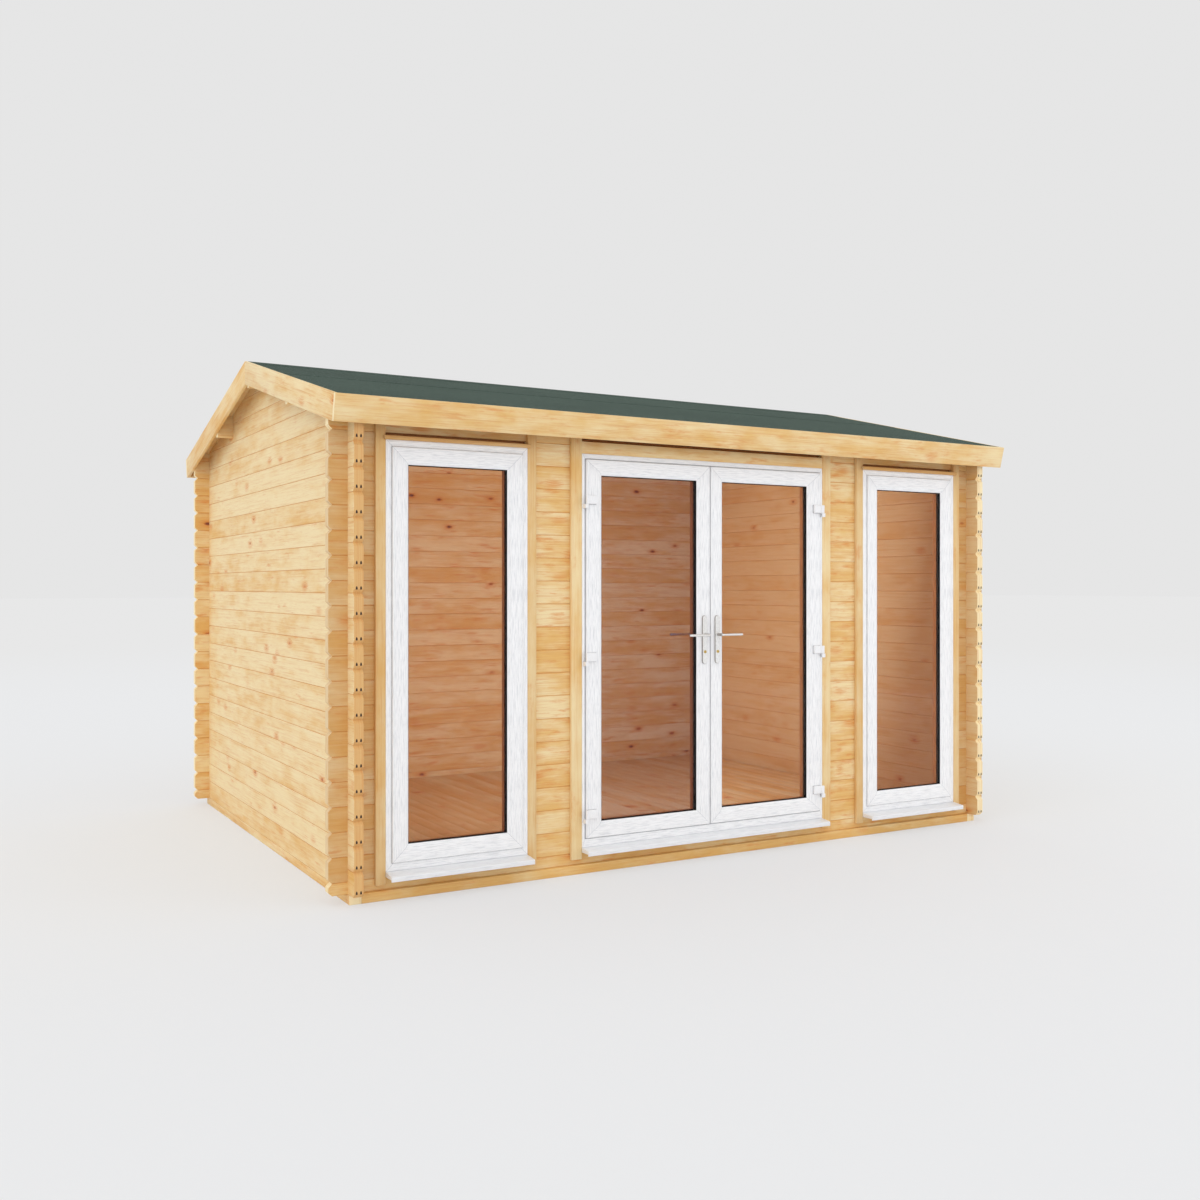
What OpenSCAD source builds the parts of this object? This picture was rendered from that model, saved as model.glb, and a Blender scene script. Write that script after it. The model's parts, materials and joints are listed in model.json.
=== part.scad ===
// Log cabin: interlocking log walls, a low gable roof, outward double doors and two tall windows.
// Millimetres. The origin is the centre of the footprint on the ground.
// X runs along the front, Y to the back and Z up. The doors are in the front, at -Y.

/* [Cabin] */
// Length of the front and back walls, between the outer faces of the side walls
cabin_w = 3960; // [3760:10:5400]
// Depth, between the outer faces of the front and back walls
cabin_d = 2916; // [2200:2:4200]

/* [Logs] */
// Thickness of a log
log_t = 44; // [28:0.2:60]
// Height that one log adds to a wall
log_h = 113.7; // [95:0.1:140]
// Length of log that runs past the crossing wall at each corner
corner_tail = 90; // [60:1:108]
// Chamfer at the top and bottom of each log end
tail_chamfer = 18; // [4:1:24]
// Depth of the V joint between two logs
joint_v = 3; // [1:0.5:5]
// Number of logs beside the windows and doors
pier_logs = 18; // [17:1:21]
// Height of the logs above the windows, up to the roof boards at the wall's outer face
head_h = 154; // [110:1:300]

/* [Foundation and floor] */
// Height of the bearers that the walls stand on
bearer_h = 45; // [30:1:90]
// Distance that the bearers reach inside the walls, to carry the floor
bearer_in = 13; // [12:1:60]
// Distance that the front and back bearers show in front of the wall
bearer_ledge = 22; // [0:1:40]
// Number of joists under the floor
joist_count = 4; // [2:1:8]
// Thickness of the floor boards
floor_t = 19; // [15:1:28]
// Expansion gap between the floor boards and the walls
floor_gap = 6; // [3:1:10]

/* [Roof] */
// Slope of the roof in degrees
roof_pitch = 13.9; // [8:0.1:25]
// Overhang of the roof past the front and back walls
eave_over = 162; // [140:1:300]
// Thickness of the roof boards
board_t = 18; // [15:0.5:28]
// Thickness of the roofing felt
felt_t = 4; // [2:0.5:8]
// Thickness of the fascia boards
fascia_t = 20; // [15:1:28]
// Depth of the fascia boards
fascia_d = 124; // [60:1:180]
// Thickness of the bargeboards
barge_t = 18; // [15:1:28]
// Depth of the bargeboards
barge_d = 126; // [60:1:180]
// Thickness of the purlins
purlin_t = 44; // [30:1:70]
// Depth of the purlins
purlin_d = 124; // [70:1:150]
// Distance of the two side purlins from the ridge
purlin_out = 774; // [500:1:850]

/* [Windows and doors] */
// Distance that the white frames stand out from the logs
frame_proud = 20; // [10:1:30]
// Depth of the white frames, front to back
frame_depth = 70; // [60:1:90]
// Width of a frame's rim that the sash sits in
frame_rim = 45; // [42:1:60]
// Distance that the face of a sash stands out from its frame
sash_proud = 9; // [6:0.5:14]
// Width of the slope between a sash face and its glass
bead_w = 15; // [8:1:20]
// Depth of that slope
bead_d = 12; // [6:1:14]
// Thickness of the double glazed units
glass_t = 24; // [16:1:28]
// Distance that a glazed unit reaches into its sash
glass_bite = 12; // [6:1:16]
// Gap between a frame and the cut ends of the logs
fit_gap = 3; // [1:0.5:6]
// Thickness of the sills under the frames
sill_t = 28; // [20:1:40]
// Distance that a window sill's nose reaches in front of the logs
sill_reach = 100; // [70:1:130]
// Height of a sill's nose
sill_nose = 24; // [12:1:30]

/* [Windows] */
// Width of a window frame
window_w = 726; // [500:1:760]
// Distance from the cabin's corner to the window frame
window_edge = 173; // [150:1:260]
// Settling gap left above the window frames
window_settle = 32; // [25:1:60]
// Part of a frame that shows beside a window's sash
window_margin = 30; // [15:1:35]
// Part of a frame that shows over a window's sash
window_over = 34; // [15:1:40]
// Part of a frame that shows below a window's sash
window_foot = 38; // [15:1:40]
// Width of a window's sash, from its edge to the glass
window_stile = 80; // [60:1:100]
// Width of the timber trims beside the windows
window_trim = 48; // [30:1:60]
// Height of the timber strip over a window
strip_h = 18; // [12:1:40]
// Thickness of that strip
strip_t = 18; // [10:1:25]

/* [Doors] */
// Width of the door frame
door_w = 1555; // [1300:1:1600]
// Settling gap over the door frame, up to the first log over the windows
door_settle = 42; // [35:1:60]
// Height of the slot cut up into the log over the doors
door_slot = 36; // [10:1:50]
// Part of the frame that shows beside the doors
door_margin = 21; // [16:1:30]
// Part of the frame that shows over the doors
door_top = 29; // [16:1:35]
// Part of the frame that shows below the doors
door_foot = 46; // [30:1:60]
// Width of a door's hinge stile, from the edge to the glass
door_stile = 92; // [80:1:110]
// Width of a door's meeting stile, from the edge to the glass
meeting_stile = 80; // [76:1:110]
// Width of a door's rails, from the edge to the glass
door_rail = 78; // [70:1:110]
// Distance that the door sill's nose reaches in front of the logs
door_sill_reach = 88; // [60:1:130]
// Gap between the faces of the two doors
meeting_gap = 6; // [5.5:0.5:10]
// Running clearance between a door and its frame
door_clear = 5; // [5:0.5:8]
// Width of the timber trims round the doors
door_trim = 60; // [30:1:80]

/* [Hinges and handles] */
// Height of each hinge's foot above the ground
hinge_low = 252; // [200:1:400]
// Height of the middle hinge's foot
hinge_mid = 1040; // [900:1:1200]
// Height of the top hinge's foot
hinge_top = 1830; // [1600:1:1900]
// Height of a hinge's barrel
hinge_h = 66; // [50:1:90]
// Diameter of a hinge's barrel
hinge_d = 15; // [12:0.5:18]
// Diameter of a hinge's pin
pin_d = 8; // [5:0.5:9]
// Distance of a hinge's axis in front of the frame's face
hinge_out = 26; // [22:1:34]
// Width of the part of a hinge that is fixed to the door
flag_w = 50; // [30:1:70]
// Height of a handle's spindle above the ground
lever_z = 1183; // [950:1:1250]
// Distance of the spindle from the line where the doors meet
lever_x = 41; // [35:1:50]
// Length of a lever from its spindle to its tip
lever_l = 131; // [90:1:140]
// Distance from a door's face to the middle of the lever
lever_out = 56; // [38:1:60]
// Diameter of the lever's grip
grip_d = 16; // [12:1:20]
// Width of a handle's back plate
plate_w = 28; // [26:1:38]
// Height of a handle's back plate
plate_h = 256; // [200:1:300]
// Thickness of a handle's back plate
plate_t = 10; // [6:1:14]
// Distance from the spindle down to the lock cylinder
lock_drop = 90; // [62:1:100]

/* [Hidden] */
$fn = 48;
slack = 1;            // how far a cutter reaches past what it cuts

pine = "burlywood";
white = "white";

// Cabin
half_w = cabin_w / 2;
half_d = cabin_d / 2;
base_z = bearer_h;                              // underside of every wall
bearer_w = log_t + bearer_in;
sill_z = base_z + log_h / 2;                    // top of the half log under the openings
head_z = sill_z + pier_logs * log_h;            // underside of the first log over the windows
eave_z = head_z + head_h;                       // roof boards' underside at the wall's outer face

// Roof
roof_slope = tan(roof_pitch);
ridge_z = eave_z + half_d * roof_slope;         // roof boards' underside at the ridge
roof_top = ridge_z + (felt_t + board_t) / cos(roof_pitch);
slope_l = (half_d + eave_over) / cos(roof_pitch);
roof_t = felt_t + board_t;
tail_gap = 1;                                   // between the log tails and the bargeboards
roof_x = half_w + corner_tail + tail_gap;       // inner face of the bargeboards
purlin_chamfer = 5;

// Courses: side walls start with a whole log, front and back walls with half of one
side_courses = ceil((ridge_z - base_z) / log_h);
long_courses = ceil((ridge_z - sill_z) / log_h);
side_joints = [for (i = [0:side_courses]) base_z + i * log_h];
long_joints = concat([base_z], [for (i = [0:long_courses]) sill_z + i * log_h]);
pier_joints = [for (i = [0:pier_logs]) sill_z + i * log_h];
head_joints = [for (z = long_joints) if (z >= head_z - slack) z];

// Openings, with y measured back from the outer face of the front wall
frame_y = -frame_proud;
frame_back = frame_depth - frame_proud;
sash_y = frame_y - sash_proud;
sash_set = 5;                                   // a sash's back is this far in front of its frame's
sash_back = frame_back - sash_set;
gasket_t = 3;                                   // between the bead and the glass
glass_y = sash_y + bead_d + gasket_t;
frame_z = sill_z + sill_t;
edge_chamfer = 4;
trim_t = frame_proud;
trim_below = 29;                                // side trims run on below the sills
trim_above = 56;                                // and up over the first log above the openings
trim_z = sill_z - trim_below;
trim_top = head_z + trim_above;

window_x = half_w - window_edge - window_w / 2;
window_top = head_z - window_settle;
door_half = door_w / 2;
door_head = head_z - door_settle;
door_trim_top = door_head + door_trim;

// Doors
flange_t = 12;                                  // part of a door that laps over its frame
lip_y = sash_y + flange_t + door_clear;
leaf_x0 = meeting_gap / 2;
leaf_x1 = door_half - door_margin;
leaf_z0 = frame_z + door_foot;
leaf_z1 = door_head - door_top;
meeting_lap = 4;                                // a door's flange past its body where the doors meet
body_x0 = leaf_x0 + meeting_lap;
body_x1 = door_half - frame_rim - door_clear;
body_z0 = leaf_z0 + frame_rim + door_clear - door_margin;
body_z1 = leaf_z1 - frame_rim - door_clear + door_margin;

// Hinges and handles
hinge_x = door_half - door_margin + door_clear;
hinge_y = frame_y - hinge_out;
hinge_feet = [hinge_low, hinge_mid, hinge_top];
foot_h = hinge_h / 3;
pin_clear = 0.05;                               // running clearance round pins and spindles
knuckle_gap = 0.5;
neck_d = 17;
spindle_d = 10;
spindle_play = 3;
spindle_bore = spindle_d + 2 * spindle_play;
plate_r = 12;
plate_up = 0.4;                                 // share of the plate above the spindle
lock_d = 17;
lock_proud = 3;
lever_y = sash_y - lever_out;
lever_in_y = sash_back + lever_out;

// ---------- helpers ----------

// Height of the roof boards' underside over a point y from the ridge
function under(y) = ridge_z - abs(y) * roof_slope;

// Point on the front slope: s down from the ridge along the felt, n below the felt's surface
function roof_pt(s, n) = [
    -s * cos(roof_pitch) + n * sin(roof_pitch),
    roof_top - s * sin(roof_pitch) - n * cos(roof_pitch)
];

// Edge of a stack of logs at x, cut back by cut at every joint; side is the way it faces
function stack_edge(x, side, joints, cut) = concat(
    [for (i = [0:len(joints) - 2]) for (p = [
        [x - side * cut, joints[i]],
        [x, joints[i] + cut],
        [x, joints[i + 1] - cut]
    ]) p],
    [[x - side * cut, joints[len(joints) - 1]]]
);

// Height n quarters of a log above the underside of the walls, rounded alike for both walls of a corner
function level(n) = round((base_z + n * log_h / 4) * 100) / 100;

function reversed(list) = [for (i = [len(list) - 1:-1:0]) list[i]];

// A [y, z] outline extruded along X from x0 to x1
module along_x(x0, x1) {
    translate([x0, 0, 0]) rotate([90, 0, 90]) linear_extrude(x1 - x0) children();
}

// An [x, z] outline extruded along Y from y0 to y1
module along_y(y0, y1) {
    translate([0, y1, 0]) rotate([90, 0, 0]) linear_extrude(y1 - y0) children();
}

module block(x0, x1, y0, y1, z0, z1) {
    translate([x0, y0, z0]) cube([x1 - x0, y1 - y0, z1 - z0]);
}

module pin(x, y, z0, z1, d) {
    translate([x, y, z0]) cylinder(d = d, h = z1 - z0);
}

// Round bar along Y
module bar_y(x, z, y0, y1, d) {
    translate([x, y0, z]) rotate([-90, 0, 0]) cylinder(d = d, h = y1 - y0);
}

// Places children on the front wall's outer face
module on_front() { translate([0, -half_d, 0]) children(); }

// Everything below the roof boards, bounded by the same two points as their underside
module below_roof(x0, x1) {
    foot = roof_pt(slope_l - fascia_t, roof_t);
    peak = roof_pt(roof_t * roof_slope, roof_t);
    along_x(x0, x1) polygon([[foot[0], 0], [-foot[0], 0], [-foot[0], foot[1]], peak, foot]);
}

// ---------- logs ----------

// Logs along X from x0 to x1 with V joints; the outer face is at y = 0
module log_stack(x0, x1, joints, tail0, tail1) {
    z0 = joints[0];
    z1 = joints[len(joints) - 1];
    left = tail0 ? stack_edge(x0, -1, joints, tail_chamfer) : [[x0, z0], [x0, z1]];
    right = tail1 ? stack_edge(x1, 1, joints, tail_chamfer) : [[x1, z0], [x1, z1]];
    intersection() {
        along_x(x0, x1) polygon(concat(
            stack_edge(0, -1, joints, joint_v),
            reversed(stack_edge(log_t, 1, joints, joint_v))
        ));
        along_y(0, log_t) polygon(concat(left, reversed(right)));
    }
}

// Slots half a log high where the logs of a crossing wall pass; the lowest is centred on level first
module crossing_slots(half, first) {
    for (side = [-1, 1], n = [first:4:4 * side_courses + first])
        block(
            side > 0 ? half - log_t : -half, side > 0 ? half : log_t - half,
            -slack, log_t + slack, level(n - 1), level(n + 1)
        );
}

// A stretch of the front wall, also used for the back one
module long_wall(x0, x1, joints, tail0, tail1) {
    intersection() {
        on_front() difference() {
            log_stack(x0, x1, joints, tail0, tail1);
            crossing_slots(half_w, 2);
        }
        below_roof(x0, x1);
    }
}

// The right-hand wall and its gable, with a notch for each purlin
module side_wall() {
    intersection() {
        difference() {
            translate([half_w, 0, 0]) rotate([0, 0, 90]) difference() {
                log_stack(-half_d - corner_tail, half_d + corner_tail, side_joints, true, true);
                crossing_slots(half_d, 0);
            }
            for (y = [-purlin_out, 0, purlin_out])
                along_x(half_w - log_t - slack, half_w + slack) purlin_outline(y);
        }
        below_roof(half_w - log_t, half_w);
    }
}

module right_wall() { color(pine) side_wall(); }
module left_wall() { color(pine) mirror([1, 0, 0]) side_wall(); }

long_half = half_w + corner_tail;
module back_wall() {
    color(pine) mirror([0, 1, 0]) long_wall(-long_half, long_half, long_joints, true, true);
}
module front_wall_base() {
    color(pine) long_wall(-long_half, long_half, [base_z, sill_z], true, true);
}
module front_wall_top() {
    color(pine) difference() {
        long_wall(-long_half, long_half, head_joints, true, true);
        on_front() block(
            -door_half - fit_gap, door_half + fit_gap,
            -slack, log_t + slack, head_z - slack, head_z + door_slot
        );
    }
}

module pier_outer() {
    long_wall(window_x + window_w / 2 + fit_gap, long_half, pier_joints, false, true);
}
module pier_inner() {
    long_wall(door_half + fit_gap, window_x - window_w / 2 - fit_gap, pier_joints, false, false);
}
module pier_right_outer() { color(pine) pier_outer(); }
module pier_right_inner() { color(pine) pier_inner(); }
module pier_left_outer() { color(pine) mirror([1, 0, 0]) pier_outer(); }
module pier_left_inner() { color(pine) mirror([1, 0, 0]) pier_inner(); }

// ---------- foundation and floor ----------

module long_bearer() {
    block(
        -half_w + bearer_w, half_w - bearer_w,
        -half_d - bearer_ledge, -half_d - bearer_ledge + bearer_w, 0, bearer_h
    );
}
module side_bearer() {
    block(
        half_w - bearer_w, half_w,
        -half_d - bearer_ledge, half_d + bearer_ledge, 0, bearer_h
    );
}
module foundation_front() { color(pine) long_bearer(); }
module foundation_back() { color(pine) mirror([0, 1, 0]) long_bearer(); }
module foundation_right() { color(pine) side_bearer(); }
module foundation_left() { color(pine) mirror([1, 0, 0]) side_bearer(); }

module floor_joists() {
    pitch = (cabin_d + 2 * bearer_ledge - bearer_w) / (joist_count + 1);
    color(pine) for (i = [1:joist_count]) {
        y = -half_d - bearer_ledge + i * pitch;
        block(-half_w + bearer_w, half_w - bearer_w, y, y + bearer_w, 0, bearer_h);
    }
}

module floor_boards() {
    inset = log_t + floor_gap;
    color(pine) block(
        -half_w + inset, half_w - inset, -half_d + inset, half_d - inset,
        bearer_h, bearer_h + floor_t
    );
}

// ---------- roof ----------

// Cross-section of the purlin centred y from the ridge, run up past the roof boards
module purlin_outline(y) {
    z = under(y) - purlin_d;
    y0 = y - purlin_t / 2;
    y1 = y + purlin_t / 2;
    polygon([
        [y0, z + purlin_chamfer], [y0 + purlin_chamfer, z],
        [y1 - purlin_chamfer, z], [y1, z + purlin_chamfer],
        [y1, roof_top], [y0, roof_top]
    ]);
}
module purlin(y) {
    color(pine) intersection() {
        along_x(-roof_x, roof_x) purlin_outline(y);
        below_roof(-roof_x, roof_x);
    }
}
module ridge_purlin() { purlin(0); }
module front_purlin() { purlin(-purlin_out); }
module back_purlin() { purlin(purlin_out); }

// A sheet of the front slope from n0 to n1 below the felt's surface, cut upright at the ridge
module slope_sheet(n0, n1, x0, x1) {
    foot = slope_l - fascia_t;
    along_x(x0, x1) polygon([
        roof_pt(n0 * roof_slope, n0), roof_pt(foot, n0), roof_pt(foot, n1),
        roof_pt(n1 * roof_slope, n1)
    ]);
}
module felt() { color("darkslategray") slope_sheet(0, felt_t, -roof_x, roof_x); }
module boards() { color(pine) slope_sheet(felt_t, roof_t, -roof_x, roof_x); }
module bargeboard() { color(pine) slope_sheet(0, barge_d, roof_x, roof_x + barge_t); }
module fascia() {
    reach = roof_x + barge_t;
    color(pine) along_x(-reach, reach) polygon([
        roof_pt(slope_l - fascia_t, 0), roof_pt(slope_l, 0),
        roof_pt(slope_l, fascia_d), roof_pt(slope_l - fascia_t, fascia_d)
    ]);
}

module roof_felt_front() { felt(); }
module roof_felt_back() { mirror([0, 1, 0]) felt(); }
module roof_boards_front() { boards(); }
module roof_boards_back() { mirror([0, 1, 0]) boards(); }
module fascia_front() { fascia(); }
module fascia_back() { mirror([0, 1, 0]) fascia(); }
module bargeboard_right_front() { bargeboard(); }
module bargeboard_right_back() { mirror([0, 1, 0]) bargeboard(); }
module bargeboard_left_front() { mirror([1, 0, 0]) bargeboard(); }
module bargeboard_left_back() { mirror([1, 0, 0]) mirror([0, 1, 0]) bargeboard(); }

// ---------- frames, sashes and glass ----------

// Slab whose front edges, at y0, are chamfered all round
module chamfered_slab(x0, x1, y0, y1, z0, z1, c) {
    intersection() {
        translate([0, 0, z0]) linear_extrude(z1 - z0) polygon([
            [x0 + c, y0], [x1 - c, y0], [x1, y0 + c], [x1, y1], [x0, y1], [x0, y0 + c]
        ]);
        along_x(x0, x1) polygon([
            [y0, z0 + c], [y0, z1 - c], [y0 + c, z1], [y1, z1], [y1, z0], [y0 + c, z0]
        ]);
    }
}

// Opening for glass: a sloping bead at the front face, then straight through, with the glass's slot
module glazing_hole(x0, x1, z0, z1) {
    y0 = sash_y - slack;
    y1 = sash_y + bead_d;
    g = bead_w + slack * bead_w / bead_d;
    intersection() {
        translate([0, 0, z0 - g]) linear_extrude(z1 - z0 + 2 * g) polygon([
            [x0 - g, y0], [x1 + g, y0], [x1, y1], [x0, y1]
        ]);
        along_x(x0 - g, x1 + g) polygon([
            [y0, z0 - g], [y0, z1 + g], [y1, z1], [y1, z0]
        ]);
    }
    block(x0, x1, sash_y, frame_back + slack, z0, z1);
    glazing(x0, x1, z0, z1);
}

module glazing(x0, x1, z0, z1) {
    block(
        x0 - glass_bite, x1 + glass_bite, glass_y, glass_y + glass_t,
        z0 - glass_bite, z1 + glass_bite
    );
}

// Sill outline in [y, z], on the half log and under a frame
module sill_outline(reach) {
    fall = 8;                                   // the top slopes down to the nose
    lip = 8;                                    // thickness of the nose
    edge = 4;                                   // chamfer of the nose's top edge
    drip = 4;                                   // the underside is this far above the log
    nose_z = frame_z - fall;
    polygon([
        [frame_back, sill_z], [frame_back, frame_z], [frame_y, frame_z],
        [edge - reach, nose_z], [-reach, nose_z - edge],
        [-reach, nose_z - sill_nose], [lip - reach, nose_z - sill_nose],
        [lip - reach, sill_z + drip], [0, sill_z + drip], [0, sill_z]
    ]);
}

// ---------- windows ----------

window_x0 = window_x - window_w / 2;
window_x1 = window_x + window_w / 2;
pane_in = window_margin + window_stile;
pane_x0 = window_x0 + pane_in;
pane_x1 = window_x1 - pane_in;
pane_z0 = frame_z + window_foot + window_stile;
pane_z1 = window_top - window_over - window_stile;

module window_frame() {
    color(white) on_front() difference() {
        chamfered_slab(window_x0, window_x1, frame_y, frame_back, frame_z, window_top, edge_chamfer);
        block(
            window_x0 + frame_rim, window_x1 - frame_rim, frame_y - slack, frame_back + slack,
            frame_z + frame_rim, window_top - frame_rim
        );
    }
}

module window_sash() {
    color(white) on_front() difference() {
        union() {
            chamfered_slab(
                window_x0 + window_margin, window_x1 - window_margin, sash_y, frame_y,
                frame_z + window_foot, window_top - window_over, edge_chamfer
            );
            block(
                window_x0 + frame_rim, window_x1 - frame_rim, frame_y, sash_back,
                frame_z + frame_rim, window_top - frame_rim
            );
        }
        glazing_hole(pane_x0, pane_x1, pane_z0, pane_z1);
    }
}

module window_glass() {
    color("sienna", 0.5) on_front() glazing(pane_x0, pane_x1, pane_z0, pane_z1);
}

module right_window_frame() { window_frame(); }
module left_window_frame() { mirror([1, 0, 0]) window_frame(); }
module right_window_sash() { window_sash(); }
module left_window_sash() { mirror([1, 0, 0]) window_sash(); }
module right_window_glass() { window_glass(); }
module left_window_glass() { mirror([1, 0, 0]) window_glass(); }

// Repeats children on the left
module both_sides() {
    children();
    mirror([1, 0, 0]) children();
}

module window_sills() {
    color(white) both_sides() on_front() along_x(window_x0, window_x1) sill_outline(sill_reach);
}

module window_side_trims() {
    color(pine) both_sides() on_front() {
        block(window_x0 - window_trim, window_x0, -trim_t, 0, trim_z, trim_top);
        block(window_x1, window_x1 + window_trim, -trim_t, 0, trim_z, trim_top);
    }
}

module window_head_trims() {
    past = 10;
    lap = 2;
    color(pine) both_sides() on_front() block(
        window_x0 - past, window_x1 + past, -trim_t - strip_t, -trim_t,
        window_top - lap, window_top - lap + strip_h
    );
}

// ---------- doors ----------

module door_frame() {
    lip_x = leaf_x1 + door_clear;
    color(white) on_front() difference() {
        chamfered_slab(-door_half, door_half, frame_y, frame_back, frame_z, door_head, edge_chamfer);
        block(
            -lip_x, lip_x, frame_y - slack, lip_y, leaf_z0 - door_clear, leaf_z1 + door_clear
        );
        block(
            frame_rim - door_half, door_half - frame_rim, frame_y - slack, frame_back + slack,
            body_z0 - door_clear, body_z1 + door_clear
        );
    }
}

module door_sill() { color(white) on_front() along_x(-door_half, door_half) sill_outline(door_sill_reach); }

module door_side_trims() {
    color(pine) both_sides() on_front()
        block(door_half, door_half + door_trim, -trim_t, 0, trim_z, trim_top);
}

module door_head_trim() {
    color(pine) on_front() block(-door_half, door_half, -trim_t, 0, door_head, door_trim_top);
}

door_pane_x0 = leaf_x0 + meeting_stile;
door_pane_x1 = leaf_x1 - door_stile;
door_pane_z0 = leaf_z0 + door_rail;
door_pane_z1 = leaf_z1 - door_rail;

// Right-hand door: a flange that laps over the frame, and a body that sits inside it
module leaf() {
    color(white) on_front() difference() {
        union() {
            chamfered_slab(
                leaf_x0, leaf_x1, sash_y, sash_y + flange_t, leaf_z0, leaf_z1, edge_chamfer
            );
            block(body_x0, body_x1, sash_y + flange_t, sash_back, body_z0, body_z1);
        }
        glazing_hole(door_pane_x0, door_pane_x1, door_pane_z0, door_pane_z1);
        bar_y(lever_x, lever_z, sash_y - slack, sash_back + slack, spindle_bore);
    }
}
module leaf_glass() {
    color("sienna", 0.5) on_front()
        glazing(door_pane_x0, door_pane_x1, door_pane_z0, door_pane_z1);
}

// Upper half of each hinge: a knuckle and the flag that is screwed to the door's face
module leaf_hinges() {
    flag_t = 16;
    arm_t = 9;
    flag_x1 = leaf_x1 - edge_chamfer;
    color(white) on_front() for (z = hinge_feet) difference() {
        union() {
            pin(hinge_x, hinge_y, z + foot_h + knuckle_gap, z + hinge_h, hinge_d);
            block(
                flag_x1 - flag_w, flag_x1, sash_y - flag_t, sash_y,
                z + foot_h + knuckle_gap, z + hinge_h
            );
            block(
                flag_x1 - arm_t, hinge_x, hinge_y - arm_t / 2, hinge_y + arm_t / 2,
                z + foot_h + knuckle_gap, z + hinge_h
            );
        }
        pin(hinge_x, hinge_y, z, z + hinge_h + slack, pin_d + 2 * pin_clear);
    }
}

// Lower half of each hinge: a foot that is screwed to the frame, and the pin
module hinge_posts() {
    foot_w = 12;
    pin_short = 4;
    color(white) both_sides() on_front() for (z = hinge_feet) {
        pin(hinge_x, hinge_y, z, z + foot_h, hinge_d);
        block(hinge_x, hinge_x + foot_w, hinge_y - hinge_d / 2, frame_y, z, z + foot_h);
        pin(hinge_x, hinge_y, z + foot_h / 2, z + hinge_h - pin_short, pin_d);
    }
}

// Rounded plate in [x, z] round the spindle
module plate(y0, y1) {
    x0 = lever_x - plate_w / 2;
    x1 = lever_x + plate_w / 2;
    z1 = lever_z + plate_h * plate_up;
    z0 = z1 - plate_h;
    lock_z = lever_z - lock_drop;
    difference() {
        union() {
            block(x0 + plate_r, x1 - plate_r, y0, y1, z0, z1);
            block(x0, x1, y0, y1, z0 + plate_r, z1 - plate_r);
            for (x = [x0 + plate_r, x1 - plate_r], z = [z0 + plate_r, z1 - plate_r])
                bar_y(x, z, y0, y1, 2 * plate_r);
            bar_y(lever_x, lock_z, y0 - lock_proud, y1, lock_d);
        }
        bar_y(lever_x, lever_z, y0 - slack, y1 + slack, neck_d + 2 * pin_clear);
    }
}
module handle_plates() {
    color("silver") on_front() {
        plate(sash_y - plate_t, sash_y);
        translate([0, 2 * sash_back + plate_t, 0]) mirror([0, 1, 0])
            plate(sash_back, sash_back + plate_t);
    }
}

// Grip, neck and end of one lever; y is the middle of the grip and root the neck's inner end
module grip(y, root) {
    tip = lever_x + lever_l - grip_d / 2;
    bar_y(lever_x, lever_z, min(y, root), max(y, root), neck_d);
    translate([lever_x, y, lever_z]) sphere(d = neck_d);
    translate([lever_x, y, lever_z]) rotate([0, 90, 0]) cylinder(d = grip_d, h = tip - lever_x);
    translate([tip, y, lever_z]) sphere(d = grip_d);
}
module lever() {
    gap = 0.5;
    color("silver") on_front() {
        grip(lever_y, sash_y - gap);
        grip(lever_in_y, sash_back + gap);
        bar_y(lever_x, lever_z, lever_y, lever_in_y, spindle_d);
    }
}

module frame_hinges() { hinge_posts(); }
module right_door() { leaf(); }
module left_door() { mirror([1, 0, 0]) leaf(); }
module right_door_glass() { leaf_glass(); }
module left_door_glass() { mirror([1, 0, 0]) leaf_glass(); }
module right_door_hinges() { leaf_hinges(); }
module left_door_hinges() { mirror([1, 0, 0]) leaf_hinges(); }
module right_handle_plates() { handle_plates(); }
module left_handle_plates() { mirror([1, 0, 0]) handle_plates(); }
module right_lever() { lever(); }
module left_lever() { mirror([1, 0, 0]) lever(); }

foundation_front();
foundation_back();
foundation_left();
foundation_right();
floor_joists();
floor_boards();
left_wall();
right_wall();
back_wall();
front_wall_base();
front_wall_top();
pier_left_outer();
pier_left_inner();
pier_right_inner();
pier_right_outer();
ridge_purlin();
front_purlin();
back_purlin();
roof_boards_front();
roof_boards_back();
roof_felt_front();
roof_felt_back();
fascia_front();
fascia_back();
bargeboard_left_front();
bargeboard_left_back();
bargeboard_right_front();
bargeboard_right_back();
left_window_frame();
right_window_frame();
left_window_sash();
right_window_sash();
left_window_glass();
right_window_glass();
window_sills();
window_side_trims();
window_head_trims();
door_frame();
door_sill();
door_side_trims();
door_head_trim();
frame_hinges();
left_door();
right_door();
left_door_glass();
right_door_glass();
left_door_hinges();
right_door_hinges();
left_handle_plates();
right_handle_plates();
left_lever();
right_lever();
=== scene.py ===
# %% [markdown]
# # A log cabin, finished in Blender
#
# The cabin is already built to size: every wall, purlin, frame and door comes from the CAD frame.
# Blender's job is the finish. This lesson goes round the cabin as a decorator would: first the camera,
# a small kit for node trees and the light, then timber, roof, white plastic frames, glass and
# ironmongery. Sizes are read from the frame wherever it holds them, so the finish follows the
# building.

# %% Load the frame and keep its box
import json
import math

import bmesh
import bpy
from mathutils import Matrix, Vector


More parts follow.
